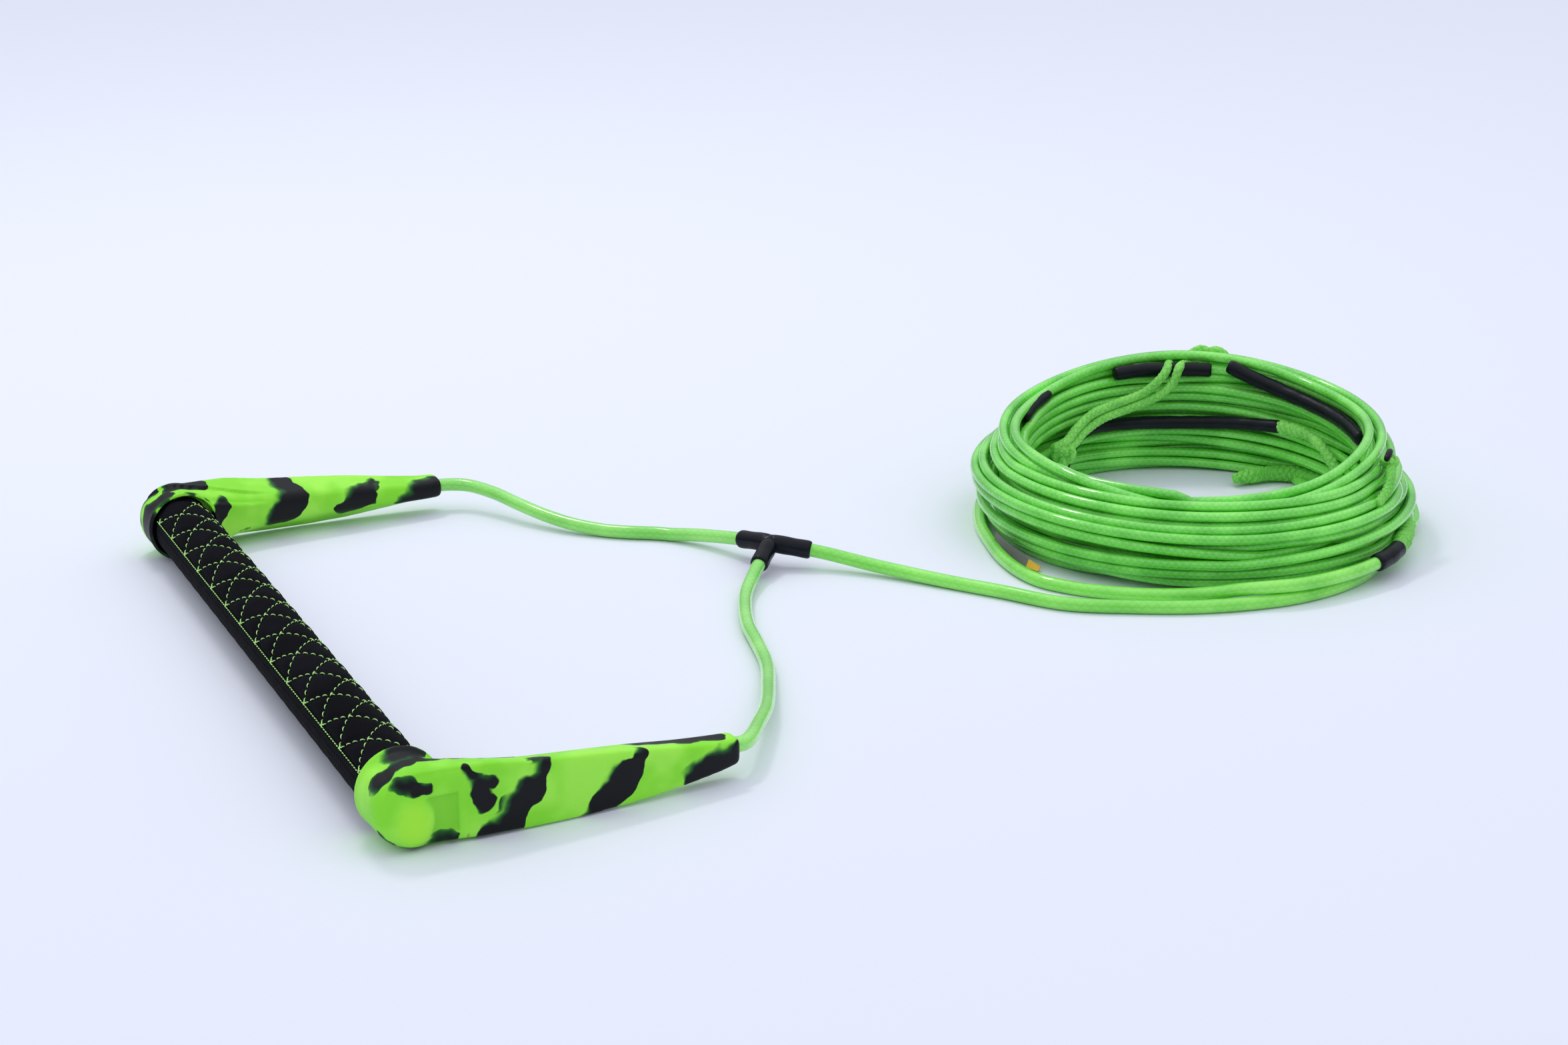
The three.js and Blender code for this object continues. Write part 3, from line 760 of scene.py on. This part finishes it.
ARM_PATCHES = {
    "right": [
        ((-9, 12, 29), (-3, 12.4, 28), 3.4), ((-3, 12.3, 26.5), (2, 12.5, 25.5), 3.4),
        ((17, 12, 31), (20, 12.5, 27), 2.8), ((22, 12.5, 26), (28, 12.5, 23.5), 2.4),
        ((22.5, 12.5, 22), (24, 12.5, 16), 5.4),
        ((49, 12, 27.5), (47, 12, 20), 4.4), ((45, 12, 18), (37, 12, 12), 6.8), ((38, 12, 12), (33, 12, 4), 6.6),
        ((23, 12, 2.5), (37, 12, 2), 4.6),
        ((90, 11, 24), (86, 11, 17), 3.4), ((84, 11, 14.5), (74, 11, 5), 7.6), ((72, 11, 3), (68, 11, 1), 4.2),
        ((66, 11, 1.5), (74, 11, 1.5), 2.6),
        ((112, 10, 6), (128, 9, 10), 6.4), ((118, 10, 10), (130, 9, 13.5), 5.0),
        ((92, 0, 23), (125, 1.5, 19.5), 5.6), ((6, 12, 3), (12, 12, 2.5), 3.8),
        ((-15, 7, 9), (-9, 9, 1.5), 1.8), ((-9, 9, 1.5), (4, 9, -0.6), 2.0),
        ((-14.5, 3, 28), (-8, 2, 33), 4.6), ((-5, 2, 34), (4, 0, 34), 5.2), ((-4, -7, 33), (8, -8, 33), 5.0),
        ((4, -1, 34), (14, -3, 33.5), 6.0), ((14, -3, 33), (28, -3, 31), 5.6), ((26, -3, 30), (40, -1.5, 27), 3.4),
        ((43, 10, 29.4), (53, 7, 28.6), 2.2),
        ((60, -5, 16), (52, -6, 12), 5.5), ((95, -5, 17), (86, -5, 11), 4.6), ((20, -9, 24), (12, -10, 12), 5.0),
    ],
    "left": [
        ((-9, -6, 32), (-16, -6, 25), 7.0), ((-17, -6, 25), (-18, -6, 12), 8.0), ((-17, -7, 12), (-10, -8, 2), 6.4),
        ((-11, 8, 30), (-17, 8, 17), 4.6), ((-6, 2, 34.5), (12, 4, 33.5), 5.0), ((2, -8, 33.5), (9, -9, 32), 3.6),
        ((8, -9, 31.5), (16, -9, 29), 2.6), ((21, -9, 26), (15, -10, 17), 5.0), ((24, -8, 28), (20, -8, 23), 2.4),
        ((27, -8, 7), (33, -7, 7.5), 2.4),
        ((52, 8, 29), (58, -5, 23), 6.6), ((56, -6, 20), (47, -7, 9), 8.8),
        ((101, 6, 25), (94, -3, 20), 3.4), ((92, -5, 17), (82, -5, 10), 7.4), ((104, 3, 23), (99, -2, 20), 2.2),
        ((112, -4, 7), (130, -3, 11), 6.8), ((120, -3, 14), (132, -2, 16.5), 5.8),
        ((40, 12, 22), (30, 12, 10), 5.0), ((74, 12, 18), (66, 12, 6), 4.6), ((105, 10, 15), (98, 10, 8), 4.4),
        ((0, 12, 26), (8, 12, 22), 4.6),
    ],
}


def rounded_polygon(corners, radii, steps=7):
    """Points round a convex polygon, each corner rounded by its own radius."""
    corners = np.asarray(corners, float)
    points = []
    for i, (corner, radius) in enumerate(zip(corners, radii)):
        before = corners[i - 1] - corner
        after = corners[(i + 1) % len(corners)] - corner
        reach = min(radius, 0.45 * np.linalg.norm(before), 0.45 * np.linalg.norm(after))
        a = corner + before / np.linalg.norm(before) * reach
        b = corner + after / np.linalg.norm(after) * reach
        for t in np.linspace(0.0, 1.0, steps):
            points.append((1 - t) ** 2 * a + 2 * t * (1 - t) * corner + t * t * b)
    return np.array(points)


def arm_blade():
    """Vertices and faces of the tapering arm."""
    stations = np.array(ARM_STATIONS, float)
    along = np.concatenate([np.arange(-2.0, 131.0, 2.0), [132.0, 133.2, 134.0, 134.3]])
    shrink = np.concatenate([np.ones(len(along) - 4), [1.0, 0.95, 0.84, 0.6]])
    rings = []
    for x, scale in zip(along, shrink):
        near = [np.interp(x + shift, stations[:, 0], stations[:, c]) for c in range(1, 7) for shift in (-4, 0, 4)]
        outer, inner, out_low, out_high, in_low, in_high = np.array(near).reshape(6, 3) @ (0.25, 0.5, 0.25)
        ring = rounded_polygon(
            [(outer, out_low), (outer, out_high), (inner, in_high), (inner, in_low)],
            [np.interp(x, [0, 25, 134], sizes) for sizes in CORNER_RADII],
        )
        middle = ring.mean(axis=0)
        ring = middle + (ring - middle) * scale
        rings.append(np.column_stack([np.full(len(ring), x), ring]))
    return np.vstack(rings), loft(len(rings), len(rings[0]))


def make_arm(name, side, material):
    """One silicone moulding: a round socket over the bar's end, drawn out into an arm."""
    blade, faces = arm_blade()
    collar = [
        (0, -12.5), (16.2, -12.5), (17.0, -12.1), (17.2, -11.2), (16.9, -9.4), (16.7, -7.0), (16.7, 5.4), (16.3, 8.0),
        (15.0, 10.5), (12.6, 12.0), (10.0, 12.5), (0, 12.5),
    ]
    turned, more = lathe(collar, 96)
    turned = np.array(turned) + (0.0, 0.0, AXIS_Z)
    vertices = np.vstack([blade, turned])
    faces += [tuple(i + len(blade) for i in face) for face in more]
    arm = add_mesh(name, vertices, faces, material)
    outwards(arm)

    remesh = arm.modifiers.new("one_skin", "REMESH")
    remesh.mode = "VOXEL"
    remesh.voxel_size = 0.75 * MM
    melt = arm.modifiers.new("melt", "SMOOTH")
    melt.factor = 0.5
    melt.iterations = 7
    apply_modifiers(arm)

    # The boss and panels on the outer face, then the crease along the top
    mesh = arm.data
    place, facing = vectors_of(mesh.vertices, "co") / MM, vectors_of(mesh.vertex_normals, "vector")
    x, o, z = place.T
    out_face = smoothstep(0.35, 0.8, facing[:, 1]) * smoothstep(8.0, 9.5, o)
    oval = np.hypot((x + 2.4) / 8.6, (z - 12.4) / 11.2)
    boss = smoothstep(1.14, 0.7, oval)
    recess = between(x, -2.0, -0.6, 19.2, 20.4) * between(z, 2.0, 3.4, 29.8, 31.0)
    panel = between(x, 1.6, 2.8, 15.2, 16.4) * between(z, 4.8, 6.0, 20.6, 21.8)
    sunk = (0.55 * recess + 0.8 * panel) * (1 - boss)
    place[:, 1] += out_face * (1.5 * boss - sunk)
    edge = np.interp(x, [-15, -12, -8, -4, 0, 8, 20, 32, 45], [12.5, 10.5, 7.6, 5.4, 3.8, 2.2, 1.0, -0.5, -2.0])
    top = smoothstep(0.15, 0.5, facing[:, 2]) * smoothstep(48.0, 34.0, x) * smoothstep(-15.0, -9.0, x)
    behind = smoothstep(0.35, -0.35, o - edge) * smoothstep(-11.5, -8.0, o)
    place -= facing * (1.3 * top * behind)[:, None]
    place[:, 2] = np.maximum(place[:, 2], 0.05)
    move_vertices(mesh, place)
    # Painted light and painted shade: the boss is painted lighter and the sunken panel darker, in place of their
    # shading.
    thickness_and_painted_light = 0.5 + 0.5 * out_face * (smoothstep(1.15, 0.3, oval) - panel * (1 - boss))
    mesh.attributes.new("thickness_and_painted_light", "FLOAT", "POINT").data.foreach_set("value", thickness_and_painted_light.astype(np.float32))

    socket, socket_faces = lathe(
        [(0, -14), (15.9, -14), (15.6, -12.0), (15.05, -11.2), (15.0, -7.0), (12.1, -6.9), (12.0, -2.5), (0, -2.5)], 96
    )
    cutter = add_mesh("socket_cutter", np.array(socket) + (0.0, 0.0, AXIS_Z), socket_faces, material)
    outwards(cutter)
    cut(arm, cutter)
    share = np.array([-3.4, 137.0]) / ARM_REACH
    bore = np.column_stack([share * ARM_REACH, share * TIP_OFFSET, AXIS_Z + share * (TIP_HEIGHT - AXIS_Z)])
    cutter = tube("bore_cutter", np.linspace(bore[0], bore[1], 3), 3.4, material, sides=24, round_ends=False)
    outwards(cutter)
    cut(arm, cutter)

    mesh = arm.data
    place = vectors_of(mesh.vertices, "co") / MM
    mesh.attributes.new("arm_place", "FLOAT_VECTOR", "POINT").data.foreach_set("vector", place.ravel())
    x, o, z = place.T
    move_vertices(mesh, np.column_stack([
        BAR_X + x * math.cos(ARM_SKEW) - side * o * math.sin(ARM_SKEW),
        side * PIVOT_Y + HANDLE_SHIFT_Y + x * math.sin(ARM_SKEW) + side * o * math.cos(ARM_SKEW),
        z,
    ]))
    outwards(arm)
    mesh.polygons.foreach_set("use_smooth", [True] * len(mesh.polygons))
    mesh.set_sharp_from_angle(angle=math.radians(50))
    return arm


# ---------- Grip: angles round the bar from +X through +Z, lengths along it ----------
SEAM_FRONT, SEAM_BACK = 20.0, 157.0
GRIP_HALF = 169.0
GRIP_R = 14.0
STITCH_PITCH = 24.4
FIRST_NODE = 158.3
SEAM_ARC = math.radians(SEAM_BACK - SEAM_FRONT) * GRIP_R


def on_bar(degrees, radius, y):
    angle = np.radians(degrees)
    x, z = BAR_X + radius * np.cos(angle), AXIS_Z + radius * np.sin(angle)
    return np.stack([x, y + np.zeros_like(angle), z], axis=-1)


def quilt_rise(degrees, y):
    """How far the quilted panel stands out between its lines of stitching."""
    across = (SEAM_BACK - degrees) / (SEAM_BACK - SEAM_FRONT)
    slope = 1.5 * across
    steps = (y - FIRST_NODE) / STITCH_PITCH
    lean = math.hypot(1.5 * STITCH_PITCH, SEAM_ARC) / SEAM_ARC
    gaps = [np.abs(f - np.round(f)) * STITCH_PITCH / lean for f in (steps + slope, steps - slope)]
    seam = np.minimum(across, 1 - across) * SEAM_ARC
    rise = 1.0
    for gap in (*gaps, np.abs(seam) * 1.2):
        rise = rise * (1 - np.exp(-((gap / 2.2) ** 2)))
    return rise


def grip_sheet(name, start, end, material, surface, along_steps, round_steps):
    """A curved sheet round the bar from one angle to another. surface(degrees, y) is its outer radius."""
    inner = 12.7
    ys = np.linspace(-GRIP_HALF, GRIP_HALF, along_steps) + HANDLE_SHIFT_Y
    angles = np.linspace(start + 0.5, end - 0.5, round_steps)
    grid_a, grid_y = np.meshgrid(angles, ys)
    outer = on_bar(grid_a, surface(grid_a, grid_y), grid_y)
    edges = [on_bar(grid_a[:, side], inner, grid_y[:, side]) for side in (slice(0, 1), slice(-1, None))]
    tucked = np.concatenate([edges[0], outer, edges[1]], axis=1)
    columns = tucked.shape[1]
    vertices = tucked.reshape(-1, 3)
    middle_angles = np.linspace(start + 0.5, end - 0.5, 9)[1:-1]
    faces, uv = [], []
    flat = np.concatenate([[start], angles, [end]])
    for row in range(along_steps - 1):
        y0, y1 = ys[row], ys[row + 1]
        for c in range(columns - 1):
            corner = row * columns + c
            faces.append((corner, corner + 1, corner + columns + 1, corner + columns))
            u0, u1 = math.radians(flat[c]) * GRIP_R, math.radians(flat[c + 1]) * GRIP_R
            uv += [(u0, y0), (u1, y0), (u1, y1), (u0, y1)]
    for row, order in ((0, -1), (along_steps - 1, 1)):
        ring = [row * columns + c for c in range(columns)]
        back = [len(vertices) + i for i in range(len(middle_angles))]
        vertices = np.vstack([vertices, on_bar(middle_angles, inner, np.full(len(middle_angles), ys[row]))])
        face = ring + back[::-1]
        faces.append(tuple(face[::order]))
        uv += [(0.0, ys[row])] * len(face)
    base = len(vertices) - 2 * len(middle_angles)
    first = [0, *range(base, base + len(middle_angles)), columns - 1]
    last_row = (along_steps - 1) * columns
    last = [last_row, *range(base + len(middle_angles), base + 2 * len(middle_angles)), last_row + columns - 1]
    for i in range(len(first) - 1):
        faces.append((first[i + 1], first[i], last[i], last[i + 1]))
        uv += [(0.0, 0.0)] * 4
    sheet = add_mesh(name, vertices, faces, material, uv)
    outwards(sheet)
    return sheet


def stitches(name, runs, material):
    """Dashed lines of thread. Each run is a list of points; stitches follow it, dipping in at both ends."""
    vertices, faces = [], []
    rows = sides = 6
    share = np.linspace(0, 1, rows)
    arch = np.sqrt(np.clip(1 - (2 * share - 1) ** 2, 0, 1))
    angles = 2 * np.pi * np.arange(sides) / sides
    one_stitch = loft(rows, sides)
    for points, length, gap, radius in runs:
        along = distance_along(points)
        count = max(1, int(round((along[-1] - gap) / (length + gap))))
        step = along[-1] / count
        for i in range(count):
            line = resampled(i * step + gap / 2 + share * (step - gap), along, points)
            outward = (line - (BAR_X, 0.0, AXIS_Z)) * (1.0, 0.0, 1.0)
            outward /= np.linalg.norm(outward, axis=1)[:, None]
            line = line + outward * (0.5 * arch - 0.25)[:, None]
            tangent = np.gradient(line, axis=0)
            tangent /= np.linalg.norm(tangent, axis=1)[:, None]
            sidewards = np.cross(tangent, outward)
            sidewards /= np.linalg.norm(sidewards, axis=1)[:, None]
            up = np.cross(sidewards, tangent)
            base = len(vertices) * sides
            for k in range(rows):
                r = radius * max(arch[k], 0.35)
                ring = line[k] + np.outer(r * np.cos(angles), sidewards[k]) + np.outer(r * np.sin(angles), up[k])
                vertices.append(ring)
            faces += [[base + corner for corner in face] for face in one_stitch]
    piece = add_mesh(name, np.vstack(vertices), faces, material)
    outwards(piece)
    return piece


def wrap_runs():
    """Where the grip is stitched: lines that cross from seam to seam, both seams, and a cross at each meeting point.

    A run is (points, a stitch's length, the gap between stitches, the thread's radius).
    """
    low, high = HANDLE_SHIFT_Y - GRIP_HALF, HANDLE_SHIFT_Y + GRIP_HALF
    runs = []
    for node in range(-2, 17):
        for lean in (-1.0, 1.0):
            share = np.linspace(0.0, 1.0, 40)
            y = FIRST_NODE - STITCH_PITCH * node + lean * 1.5 * STITCH_PITCH * share
            degrees = SEAM_BACK - share * (SEAM_BACK - SEAM_FRONT)
            inside = (y > low + 6) & (y < high - 6)
            if inside.sum() < 4:
                continue
            runs.append((on_bar(degrees[inside], 13.6, y[inside]), 2.3, 1.3, 0.23))
    for seam, radius in ((SEAM_BACK + 0.6, 13.75), (SEAM_FRONT - 0.6, 13.7)):
        y = np.linspace(low + 5, high - 5, 400)
        runs.append((on_bar(np.full(400, seam), radius, y), 1.3, 1.2, 0.24))
    for node in range(14):
        y = FIRST_NODE - STITCH_PITCH * node
        for lean in (-1.0, 1.0):
            degrees = np.array([SEAM_BACK + 3.0, SEAM_BACK - 6.0])
            runs.append((on_bar(degrees, 13.8, np.array([y - lean * 0.9, y + lean * 1.2])), 2.2, 0.4, 0.26))
    return runs


# ---------- Build: camera first, then the ropes, then the handle ----------
look()

LINE = coated_rope("coated_line", (0.28, 0.96, 0.13), (0.09, 0.58, 0.03), 4, 3.4, 0.0005, 0.36)
LEG = coated_rope("coated_leg", (0.36, 0.92, 0.18), (0.18, 0.70, 0.07), 6, 4.2, 0.00003, 0.28, stripe=0.35)
LEAD_COAT = coated_rope("coated_lead", (0.32, 0.93, 0.12), (0.15, 0.68, 0.04), 5, 4.6, 0.00007, 0.3)
ROPE = dry_rope("dry_rope", (0.28, 0.86, 0.12), (0.06, 0.40, 0.03))
ROPE_BRIGHT = dry_rope("dry_rope_bright", (0.36, 0.94, 0.17), (0.08, 0.46, 0.04))
SHRINK = shrink_tube("shrink_tube", 0.2, 0.0)
GLOSSY_SHRINK = shrink_tube("glossy_shrink_tube", 0.08, 0.2)
SUEDE = suede("suede")
PERFORATED = perforated("perforated_rubber")
THREAD = thread("thread")
TAG_YELLOW = plain("tag_yellow", (0.95, 0.58, 0.05), (0.80, 0.42, 0.03), 0.6, 900.0)
TAG_GREY = plain("tag_grey", (0.22, 0.22, 0.20), (0.14, 0.14, 0.13), 0.7, 900.0)
FOAM = plain("foam", (0.03, 0.03, 0.035), (0.012, 0.012, 0.014), 0.8, 1500.0)
METAL = plain("aluminium", (0.62, 0.63, 0.65), (0.5, 0.51, 0.53), 0.28, 200.0, metallic=1.0)
PLUG = plain("plug_plastic", (0.03, 0.03, 0.034), (0.015, 0.015, 0.017), 0.4)

studio()


def place_piece(piece, material_slot, *stands_for, body="bar_and_rope"):
    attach(piece, body)
    if stands_for:
        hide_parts(*stands_for)
    return piece


def braid_piece(name, path, radius, material, sides, weave, *stands_for):
    """Bare rope. weave is its strands, pitch and depth."""
    return place_piece(tube(name, path, radius, material, sides, braided(*weave)), "rope", *stands_for)


def coil_route(points, spacing=1.2):
    return curve_through([at_coil(*p) for p in points], spacing)


def shares(path):
    """How far along the path each of its points is, from 0 to 1."""
    return np.linspace(0.0, 1.0, len(path))


def sleeve(name, path, radius, *stands_for, material=SHRINK):
    """Shrink tube: its ends are bevelled and it is never quite even."""
    along = shares(path)
    ends = np.minimum(along, 1 - along) * length_of(path)
    width = radius - 0.5 * np.exp(-ends / 0.5) + 0.08 * np.sin(along * length_of(path) * 0.55 + radius * 3)
    return place_piece(tube(name, path, width, material, sides=24, round_ends=False), "shrink", *stands_for)


# Pieces that lie against the coil
BACK_SLEEVE = coil_route([
    (113, 80, 8), (111.5, 79.6, 14), (108.5, 79.5, 20.5), (104, 79.5, 25.6), (98, 79.8, 28), (80, 80, 27.6),
    (59, 80.2, 27.3), (42, 80.2, 28.7), (23, 80, 31),
])
REAR_LEFT_SLEEVE = coil_route([
    (87, 82.6, 54.6), (81, 82, 55.2), (74, 82, 55.5), (66, 82, 55.5), (58, 82, 55.6), (51, 82, 55.7),
])
REAR_RIGHT_SLEEVE = coil_route([
    (45, 83, 58.4), (36, 82.6, 53.6), (29, 82.4, 51), (22, 82.3, 48.9), (8, 82.5, 46), (-7, 83, 43.9), (-22, 84, 41.3),
])
SIDE_SLEEVE = coil_route([(136, 86.5, 45.5), (130, 86.2, 47.6), (124, 86, 49.2), (117, 86, 50.8)])
SPLICE = coil_route([
    (23.5, 80, 31.2), (17, 79.4, 31.2), (10, 79.3, 30.9), (3, 79.3, 28), (-4, 79.5, 22.7), (-8, 80, 18.6),
], 0.6)
TAIL = curve_through([
    (496.5, 4, 4.4), (497.5, 13, 4.6), (496.5, 24, 4.9), (491, 35, 5), (480, 41, 5), (468, 42.4, 5), (459.5, 42, 4.8),
], 0.6)
LOOP = coil_route([
    (124, 76, 26), (116, 74.5, 27.4), (110, 74, 32.5), (101, 74, 38), (88, 74, 41.6), (77, 74, 46), (71, 74.4, 52.2),
    (68.5, 76, 55.6), (67, 80.5, 57.6), (66, 86, 57.4), (64.5, 92.5, 56.2), (60, 97, 57.6), (57.4, 97.8, 60.6),
    (55.2, 97, 62.6), (52.8, 97.2, 61.4), (50.6, 97, 62.4), (48.2, 97.6, 60.4), (47.4, 97.6, 57.6), (48.5, 95.6, 56.2),
    (54, 92.5, 56), (60, 87, 57.2), (62.5, 80, 57.6), (63.5, 76, 56.8), (65.5, 73.6, 51), (71, 73, 44.2),
    (83, 73, 38.4), (96, 73, 34.8), (106, 73, 30), (113, 73.4, 24.4), (121, 75, 22.6),
], 0.6)

# Lead, from the junction once round the foot of the coil
start, end, _ = to_junction("lead")
lead_path = curve_through([*(start + (end - start) * share for share in (1.0, 0.5, 0.05)), *LEAD, *LEAD_END], 3.0)
lead_arc = coil_route([(a, 105.5, 3.1) for a in range(-58, 153, 10)])
END_LOOP = curve_through([
    (457, -96.2, 10.5), (462, -92.2, 10.7), (467, -87.6, 10.9), (474, -80.6, 11.2), (482, -72, 11.6),
], 0.6)

line_path = wind_coil([
    (BACK_SLEEVE, 3.4), (REAR_LEFT_SLEEVE, 3.6), (REAR_RIGHT_SLEEVE, 3.7), (SIDE_SLEEVE, 3.0),
    (SPLICE, 3.8), (TAIL, 4.0), (lead_arc, 3.3), (END_LOOP, 4.2), (LEAD[-3:] + LEAD_END, 4.0),
    (coil_route([(-64, 102, 34), (-57, 99, 38), (-49, 96.5, 42.4), (-42, 95.5, 43.4)]), 3.6),
])
main_line = place_piece(tube("main_line", line_path, LINE_D / 2, LINE, sides=12), "coated_line", "main_coil")
lead = place_piece(tube("lead", lead_path, LEAD_D / 2, LEAD_COAT, sides=18), "coated_line", "lead_line")

on_coil = [
    sleeve("long_sleeve", BACK_SLEEVE, 3.4, "back_sleeve"),
    sleeve("left_marked_sleeve", REAR_LEFT_SLEEVE, 3.6, "rear_left_sleeve"),
    sleeve("right_marked_sleeve", REAR_RIGHT_SLEEVE, 3.75, "rear_right_sleeve"),
    sleeve("short_sleeve", SIDE_SLEEVE, 3.0, "side_sleeve"),
]
along = shares(SPLICE)
swell = 2.1 + 0.9 * np.exp(-(((along - 0.06) / 0.05) ** 2)) + 1.2 * np.exp(-(((along - 0.2) / 0.06) ** 2))
swell = swell + 0.3 * np.sin(along * 24)
on_coil.append(braid_piece("long_splice", SPLICE, swell, ROPE_BRIGHT, 28, (4, 3.4, 0.75), "back_splice"))
along = shares(TAIL)
swell = 3.5 - 1.4 * smoothstep(0.8, 1.0, along) + 0.3 * np.sin(along * 16)
on_coil.append(braid_piece("tail", TAIL, swell, ROPE, 30, (4, 4.0, 0.8), "tail_end"))
on_coil.append(braid_piece("hanging_loop", LOOP, 1.95, ROPE_BRIGHT, 20, (3, 2.8, 0.5), "takeoff_loop"))


def knot(name, centre, size, cord_radius, *stands_for):
    """An overhand knot: a trefoil of cord pulled tight, with its size in millimetres along x, y and z."""
    t = np.linspace(0.0, 2 * np.pi, 150, endpoint=False)
    x = np.sin(t) + 1.6 * np.sin(2 * t)
    y = np.cos(t) - 1.6 * np.cos(2 * t)
    z = -np.sin(3 * t) * 1.5
    path = np.column_stack([x, z, y]) / 2.6 * (np.asarray(size) - cord_radius) + centre
    path = np.vstack([path, path[:2]])
    return braid_piece(name, path, cord_radius, ROPE_BRIGHT, 18, (3, 2.4, cord_radius * 0.25), *stands_for)


on_coil.append(knot("loop_knot", at_coil(118.6, 74, 19.5), (6.6, 5.4, 9.6), 1.75, "takeoff_knot"))
on_coil.append(knot("outer_knot", at_coil(-49, 96.6, 43), (4.8, 4.2, 4.6), 1.45, "side_knot"))
KNOT_END = coil_route([(-51, 98, 41), (-55, 100, 38), (-60, 101.6, 34.6), (-66, 102.6, 31.4)], 0.6)
on_coil.append(braid_piece("outer_knot_end", KNOT_END, 1.9, ROPE, 20, (4, 3.0, 0.6)))
BAND = coil_route([(-52.4, 96.2, 46), (-50.2, 96.2, 47.4), (-47.8, 96, 47.8), (-45.8, 95.6, 47)])
on_coil.append(sleeve("outer_band", BAND, 1.6))

cord_piece(
    main_line, line_path, exit=tuple(line_path[0] * MM), diameter=LINE_D * MM, far_end="knot", stiffness="medium",
    lay="coiled", with_pieces=on_coil,
)

# Lead's own pieces
def junction_sleeve(rope, node):
    """The sleeve at a rope's end, a little longer than the rope so that the three meet."""
    first, last, way = to_junction(rope)
    path = np.linspace(first, last + way * SLEEVE_OVERSHOOT[rope], 26)
    return sleeve(f"{rope}_shrink", path, 4.35, node, material=GLOSSY_SHRINK)


lead_pieces = [
    junction_sleeve("lead", "lead_sleeve"),
    sleeve("lead_end_shrink", curve_through(LEAD_END, 1.0), 4.3, "lead_end_sleeve", material=GLOSSY_SHRINK),
]
along = shares(END_LOOP)
swell = 2.7 + 0.9 * np.sin(np.pi * np.clip(along * 1.1, 0, 1)) + 0.3 * np.sin(along * 21)
lead_pieces.append(braid_piece("lead_loop", END_LOOP, swell, ROPE_BRIGHT, 28, (4, 3.6, 0.8), "lead_end_loop"))


def label():
    """A woven label that stands between the lead and the coil, with a yellow end."""
    bearings = np.linspace(179.0, 197.0, 19)
    outline = []
    for thickness_and_painted_light in (0.0, 0.7):
        for bearing in bearings:
            lean = (bearing - 179.0) / 18.0
            low, high = 0.3 + 0.6 * lean, 10.0 - 7.5 * lean
            outline.append(at_coil(bearing, 111.6 + thickness_and_painted_light, low))
            outline.append(at_coil(bearing, 110.0 + thickness_and_painted_light, high))
    count = len(bearings)
    faces = []
    for i in range(count - 1):
        a, b = 2 * i, 2 * (i + 1)
        faces.append((a, b, b + 1, a + 1))
        p, q = 2 * (count + i), 2 * (count + i + 1)
        faces += [(p, p + 1, q + 1, q), (a, p, q, b), (a + 1, b + 1, q + 1, p + 1)]
    last = 2 * (count - 1)
    faces += [(0, 1, 2 * count + 1, 2 * count), (last, 2 * count + last, 2 * count + last + 1, last + 1)]
    piece = add_mesh("label", outline, faces, TAG_GREY, smooth=False)
    outwards(piece)
    piece.data.materials.append(TAG_YELLOW)
    for face in piece.data.polygons:
        away = face.center / MM - Vector((*COIL_CENTRE, 0.0))
        if math.degrees(math.atan2(away.y, away.x)) % 360.0 > 192.6:
            face.material_index = 1
    return piece


lead_pieces.append(place_piece(label(), "tag", "size_tag"))
cord_piece(
    lead, lead_path, exit=tuple(lead_path[0] * MM), diameter=LEAD_D * MM, far_end="fitting", stiffness="medium",
    lay="loose", with_pieces=lead_pieces,
)

# Bridle legs
join = curve_through([JUNCTION - (3.4, -1.6, 0.6), JUNCTION, JUNCTION + (3.4, -2.2, -0.6)], 0.6)
junction = sleeve("junction_shrink", join, 3.9, "y_splice", material=GLOSSY_SHRINK)
for side, points in (("left", LEFT_LEG), ("right", RIGHT_LEG)):
    first, last, _ = to_junction(side)
    route = curve_through([*points, *(first + (last - first) * share for share in (0.05, 0.5, 1.0))], 2.5)
    route[:, 2] = np.maximum(route[:, 2], ROPE_D / 2 + 0.1)
    leg = tube(f"{side}_leg", route, ROPE_D / 2, LEG, sides=18)
    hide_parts(f"{side}_bridle")
    mouth, settled = route[7], route[48]  # where the leg leaves the arm, and where it lies still
    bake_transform(leg)
    pieces = [junction_sleeve(side, f"{side}_bridle_sleeve")]
    if side == "left":
        pieces.append(junction)
    cord_piece(
        leg, route, exit=tuple(mouth * MM), diameter=ROPE_D * MM, far_end="fitting", stiffness="limp", lay="loose",
        with_pieces=pieces,
    )

# Handle
for name, side in (("left", 1), ("right", -1)):
    silicone = camouflage(f"{name}_camouflage", ARM_PATCHES[name])
    arm = make_arm(f"{name}_moulding", side, silicone)
    place_piece(arm, "silicone", f"{name}_arm", body=f"{name}_arm")

quilt = grip_sheet(
    "quilted_grip", SEAM_FRONT, SEAM_BACK, SUEDE, lambda a, y: 13.25 + 0.85 * quilt_rise(a, y), 560, 64
)
place_piece(quilt, "suede", "quilted_panel")
under = grip_sheet(
    "perforated_grip", SEAM_BACK, SEAM_FRONT + 360.0, PERFORATED,
    lambda a, y: 13.95 - 0.5 * np.exp(-np.minimum(a - SEAM_BACK, SEAM_FRONT + 360.0 - a) / 4.0)
    - 0.8 * smoothstep(161.0, 165.5, np.abs(y - HANDLE_SHIFT_Y)) + 0.06 * np.sin(y * 0.4), 220, 80,
)
place_piece(under, "grip_rubber", "perforated_panel")
place_piece(stitches("grip_stitching", wrap_runs(), THREAD), "suede")

for name, material in (
    ("bar_tube", METAL), ("grip_foam", FOAM), ("bar_rope", ROPE), ("left_tube_plug", PLUG), ("right_tube_plug", PLUG),
    ("left_arm_rope", ROPE), ("right_arm_rope", ROPE),
):
    slots = nodes[name].data.materials
    slots.clear()
    slots.append(material)
